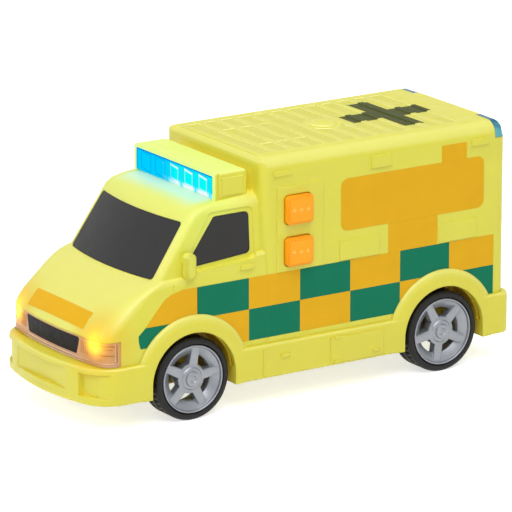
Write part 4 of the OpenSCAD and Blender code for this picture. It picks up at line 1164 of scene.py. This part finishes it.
class AMBULANCE_OT_roof_cross(bpy.types.Operator):
    """Print the plain cross over the roof's ribs"""

    bl_idname = "ambulance.roof_cross"
    bl_label = "Roof cross"

    def execute(self, context):
        along, over = sizes().cross_long / MM / 2, sizes().cross_wide / MM / 2
        bm = bmesh.new()
        for half, y0, y1 in (
            (over, -CROSS_SPAN, -along), (CROSS_REACH, -along, along), (over, along, CROSS_SPAN),
        ):
            low, high = place(CROSS_MIDDLE - half, y0, 0), place(CROSS_MIDDLE + half, y1, 0)
            self.print_patch(bm, low, high)
        bmesh.ops.remove_doubles(bm, verts=bm.verts[:], dist=0.004 * MM)
        bm.normal_update()
        lift = sizes().film_lift
        for vert, out in [(v, v.normal.copy()) for v in bm.verts]:
            vert.co += out * lift
        film_piece("roof_cross", bm, [pad_printed_ink()], FILM_THICK)
        return {"FINISHED"}

    def print_patch(self, bm, low, high):
        """Copies the roof's outer faces between two corners, ribs and bands alike."""
        shell = bmesh.new()
        shell.from_mesh(NODES["body_shell"].data)
        under = ROOF - PRINT_REACH * MM
        far = [f for f in shell.faces if min(v.co.z for v in f.verts) < under]
        bmesh.ops.delete(shell, geom=far, context="FACES")
        for corner, sign in ((low, -1), (high, 1)):
            for axis in (0, 1):
                normal = Vector()
                normal[axis] = sign
                bmesh.ops.bisect_plane(
                    shell,
                    geom=shell.verts[:] + shell.edges[:] + shell.faces[:],
                    plane_co=corner,
                    plane_no=normal,
                    clear_outer=True,
                )
        patch = bpy.data.meshes.new("patch")
        shell.to_mesh(patch)
        shell.free()
        bm.from_mesh(patch)
        bpy.data.meshes.remove(patch)


# Studio lamps: place in metres, diameter in metres and power in watts.
LAMPS = {
    "key": ((-0.55, -0.9, 1.25), 0.9, 9.9),
    "fill": ((-1.3, 0.2, 0.8), 0.9, 4.9),
    "top": ((0.1, -0.4, 1.45), 1.0, 9.0),
}
LAMP_AIM = Vector((0, 0, 0.04))
# Light of the world, light that the floor adds for rays that see it, and the floor's radius in
# metres.
WORLD_LEVEL, FLOOR_LEVEL = 0.42, 0.66
FLOOR_R, FLOOR_SIDES = 4, 96
# Camera: focal length and sensor in millimetres, the way its right, top and back point, and its
# place in metres from the front axle's line.
FOCAL, SENSOR = 325.9, 36
CAMERA_TURN = (0.8376, -0.5463, 0), (0.148, 0.2269, 0.9627), (-0.5259, -0.8063, 0.2709)
CAMERA_AT = Vector((-0.8371, -1.3575, 0.5013))


class AMBULANCE_OT_stage(bpy.types.Operator):
    """Set the floor, the studio light and the camera"""

    bl_idname = "ambulance.stage"
    bl_label = "Stage"

    def execute(self, context):
        scene = context.scene
        scene.view_settings.view_transform = "Standard"
        self.floor(scene)
        self.world(scene)
        for name, (at, size, power) in LAMPS.items():
            self.lamp(scene, name, Vector(at), size, power)
        self.camera(scene)
        return {"FINISHED"}

    def floor(self, scene):
        """White board: rays that see it get it as white, and it keeps the toy's shadow."""
        bm = bmesh.new()
        bmesh.ops.create_circle(bm, cap_ends=True, radius=FLOOR_R, segments=FLOOR_SIDES)
        mesh = bpy.data.meshes.new("floor")
        bm.to_mesh(mesh)
        bm.free()
        floor = bpy.data.objects.new("floor", mesh)
        scene.collection.objects.link(floor)
        mat, tree, shader, _ = finish(
            "white_studio_board", (1, 1, 1), tone=(0.9, 0.94, 300), rough=(0.85, 0.95, 50),
            grain=(2, 0.01), edge=0.1, Emission_Color=(1, 1, 1, 1),
        )
        lift = add(tree, MATH, (self.seen_rays(tree), FLOOR_LEVEL), operation="MULTIPLY")
        tree.links.new(lift.outputs[0], shader.inputs["Emission Strength"])
        mesh.materials.append(mat)

    def seen_rays(self, tree):
        """One for rays that see the background: from the camera, in gloss or through glass."""
        path = add(tree, "ShaderNodeLightPath")
        seen = path.outputs["Is Camera Ray"]
        for kind in ("Is Glossy Ray", "Is Transmission Ray"):
            seen = add(tree, MATH, (seen, path.outputs[kind]), operation="MAXIMUM")
        return seen

    def world(self, scene):
        """Even light from all sides, white to rays that see it."""
        world = bpy.data.worlds.new("studio")
        scene.world = world
        world.use_nodes = True
        tree = world.node_tree
        tree.nodes.clear()
        soft, white = (
            add(tree, "ShaderNodeBackground", {"Color": (1, 1, 1, 1), "Strength": level})
            for level in (WORLD_LEVEL, 1.0)
        )
        mixed = add(tree, "ShaderNodeMixShader", (self.seen_rays(tree), soft, white))
        add(tree, "ShaderNodeOutputWorld", (mixed,))

    def lamp(self, scene, name, at, size, power):
        data = bpy.data.lights.new(name, "AREA")
        data.shape = "DISK"
        data.size = size
        data.energy = power
        lamp = bpy.data.objects.new(name, data)
        lamp.location = at
        lamp.rotation_euler = (LAMP_AIM - at).to_track_quat("-Z", "Y").to_euler()
        scene.collection.objects.link(lamp)

    def camera(self, scene):
        data = bpy.data.cameras.new("camera")
        data.sensor_width = SENSOR
        data.lens = FOCAL
        camera = bpy.data.objects.new("camera", data)
        at = CAMERA_AT + Vector((FRONT_AXLE.x, 0, 0))
        camera.matrix_world = Matrix.Translation(at) @ Matrix(CAMERA_TURN).transposed().to_4x4()
        scene.collection.objects.link(camera)
        scene.camera = camera


OPERATORS = (
    AMBULANCE_OT_mouldings,
    AMBULANCE_OT_panes,
    AMBULANCE_OT_lamps,
    AMBULANCE_OT_keys,
    AMBULANCE_OT_works,
    AMBULANCE_OT_wheels,
    AMBULANCE_OT_checks,
    AMBULANCE_OT_panels,
    AMBULANCE_OT_roof_cross,
    AMBULANCE_OT_stage,
)


class AMBULANCE_PT_panel(bpy.types.Panel):
    """Pieces of the toy ambulance"""

    bl_idname = "AMBULANCE_PT_panel"
    bl_label = "Toy Ambulance"
    bl_space_type = "VIEW_3D"
    bl_region_type = "UI"
    bl_category = "Ambulance"

    def draw(self, context):
        for operator in OPERATORS:
            self.layout.operator(operator.bl_idname)
        for group in (colours(), sizes()):
            box = self.layout.box()
            for key in group.bl_rna.properties.keys():
                if key not in ("rna_type", "name"):
                    box.prop(group, key)


CLASSES = (AmbulanceColours, AmbulanceSizes) + OPERATORS + (AMBULANCE_PT_panel,)


def register():
    for cls in CLASSES:
        bpy.utils.register_class(cls)
    bpy.types.Scene.ambulance_colours = PointerProperty(type=AmbulanceColours)
    bpy.types.Scene.ambulance_sizes = PointerProperty(type=AmbulanceSizes)


def unregister():
    del bpy.types.Scene.ambulance_sizes
    del bpy.types.Scene.ambulance_colours
    for cls in reversed(CLASSES):
        bpy.utils.unregister_class(cls)


def main():
    register()
    for operator in OPERATORS:
        group, name = operator.bl_idname.split(".")
        getattr(getattr(bpy.ops, group), name)()


if __name__ == "__main__":
    main()
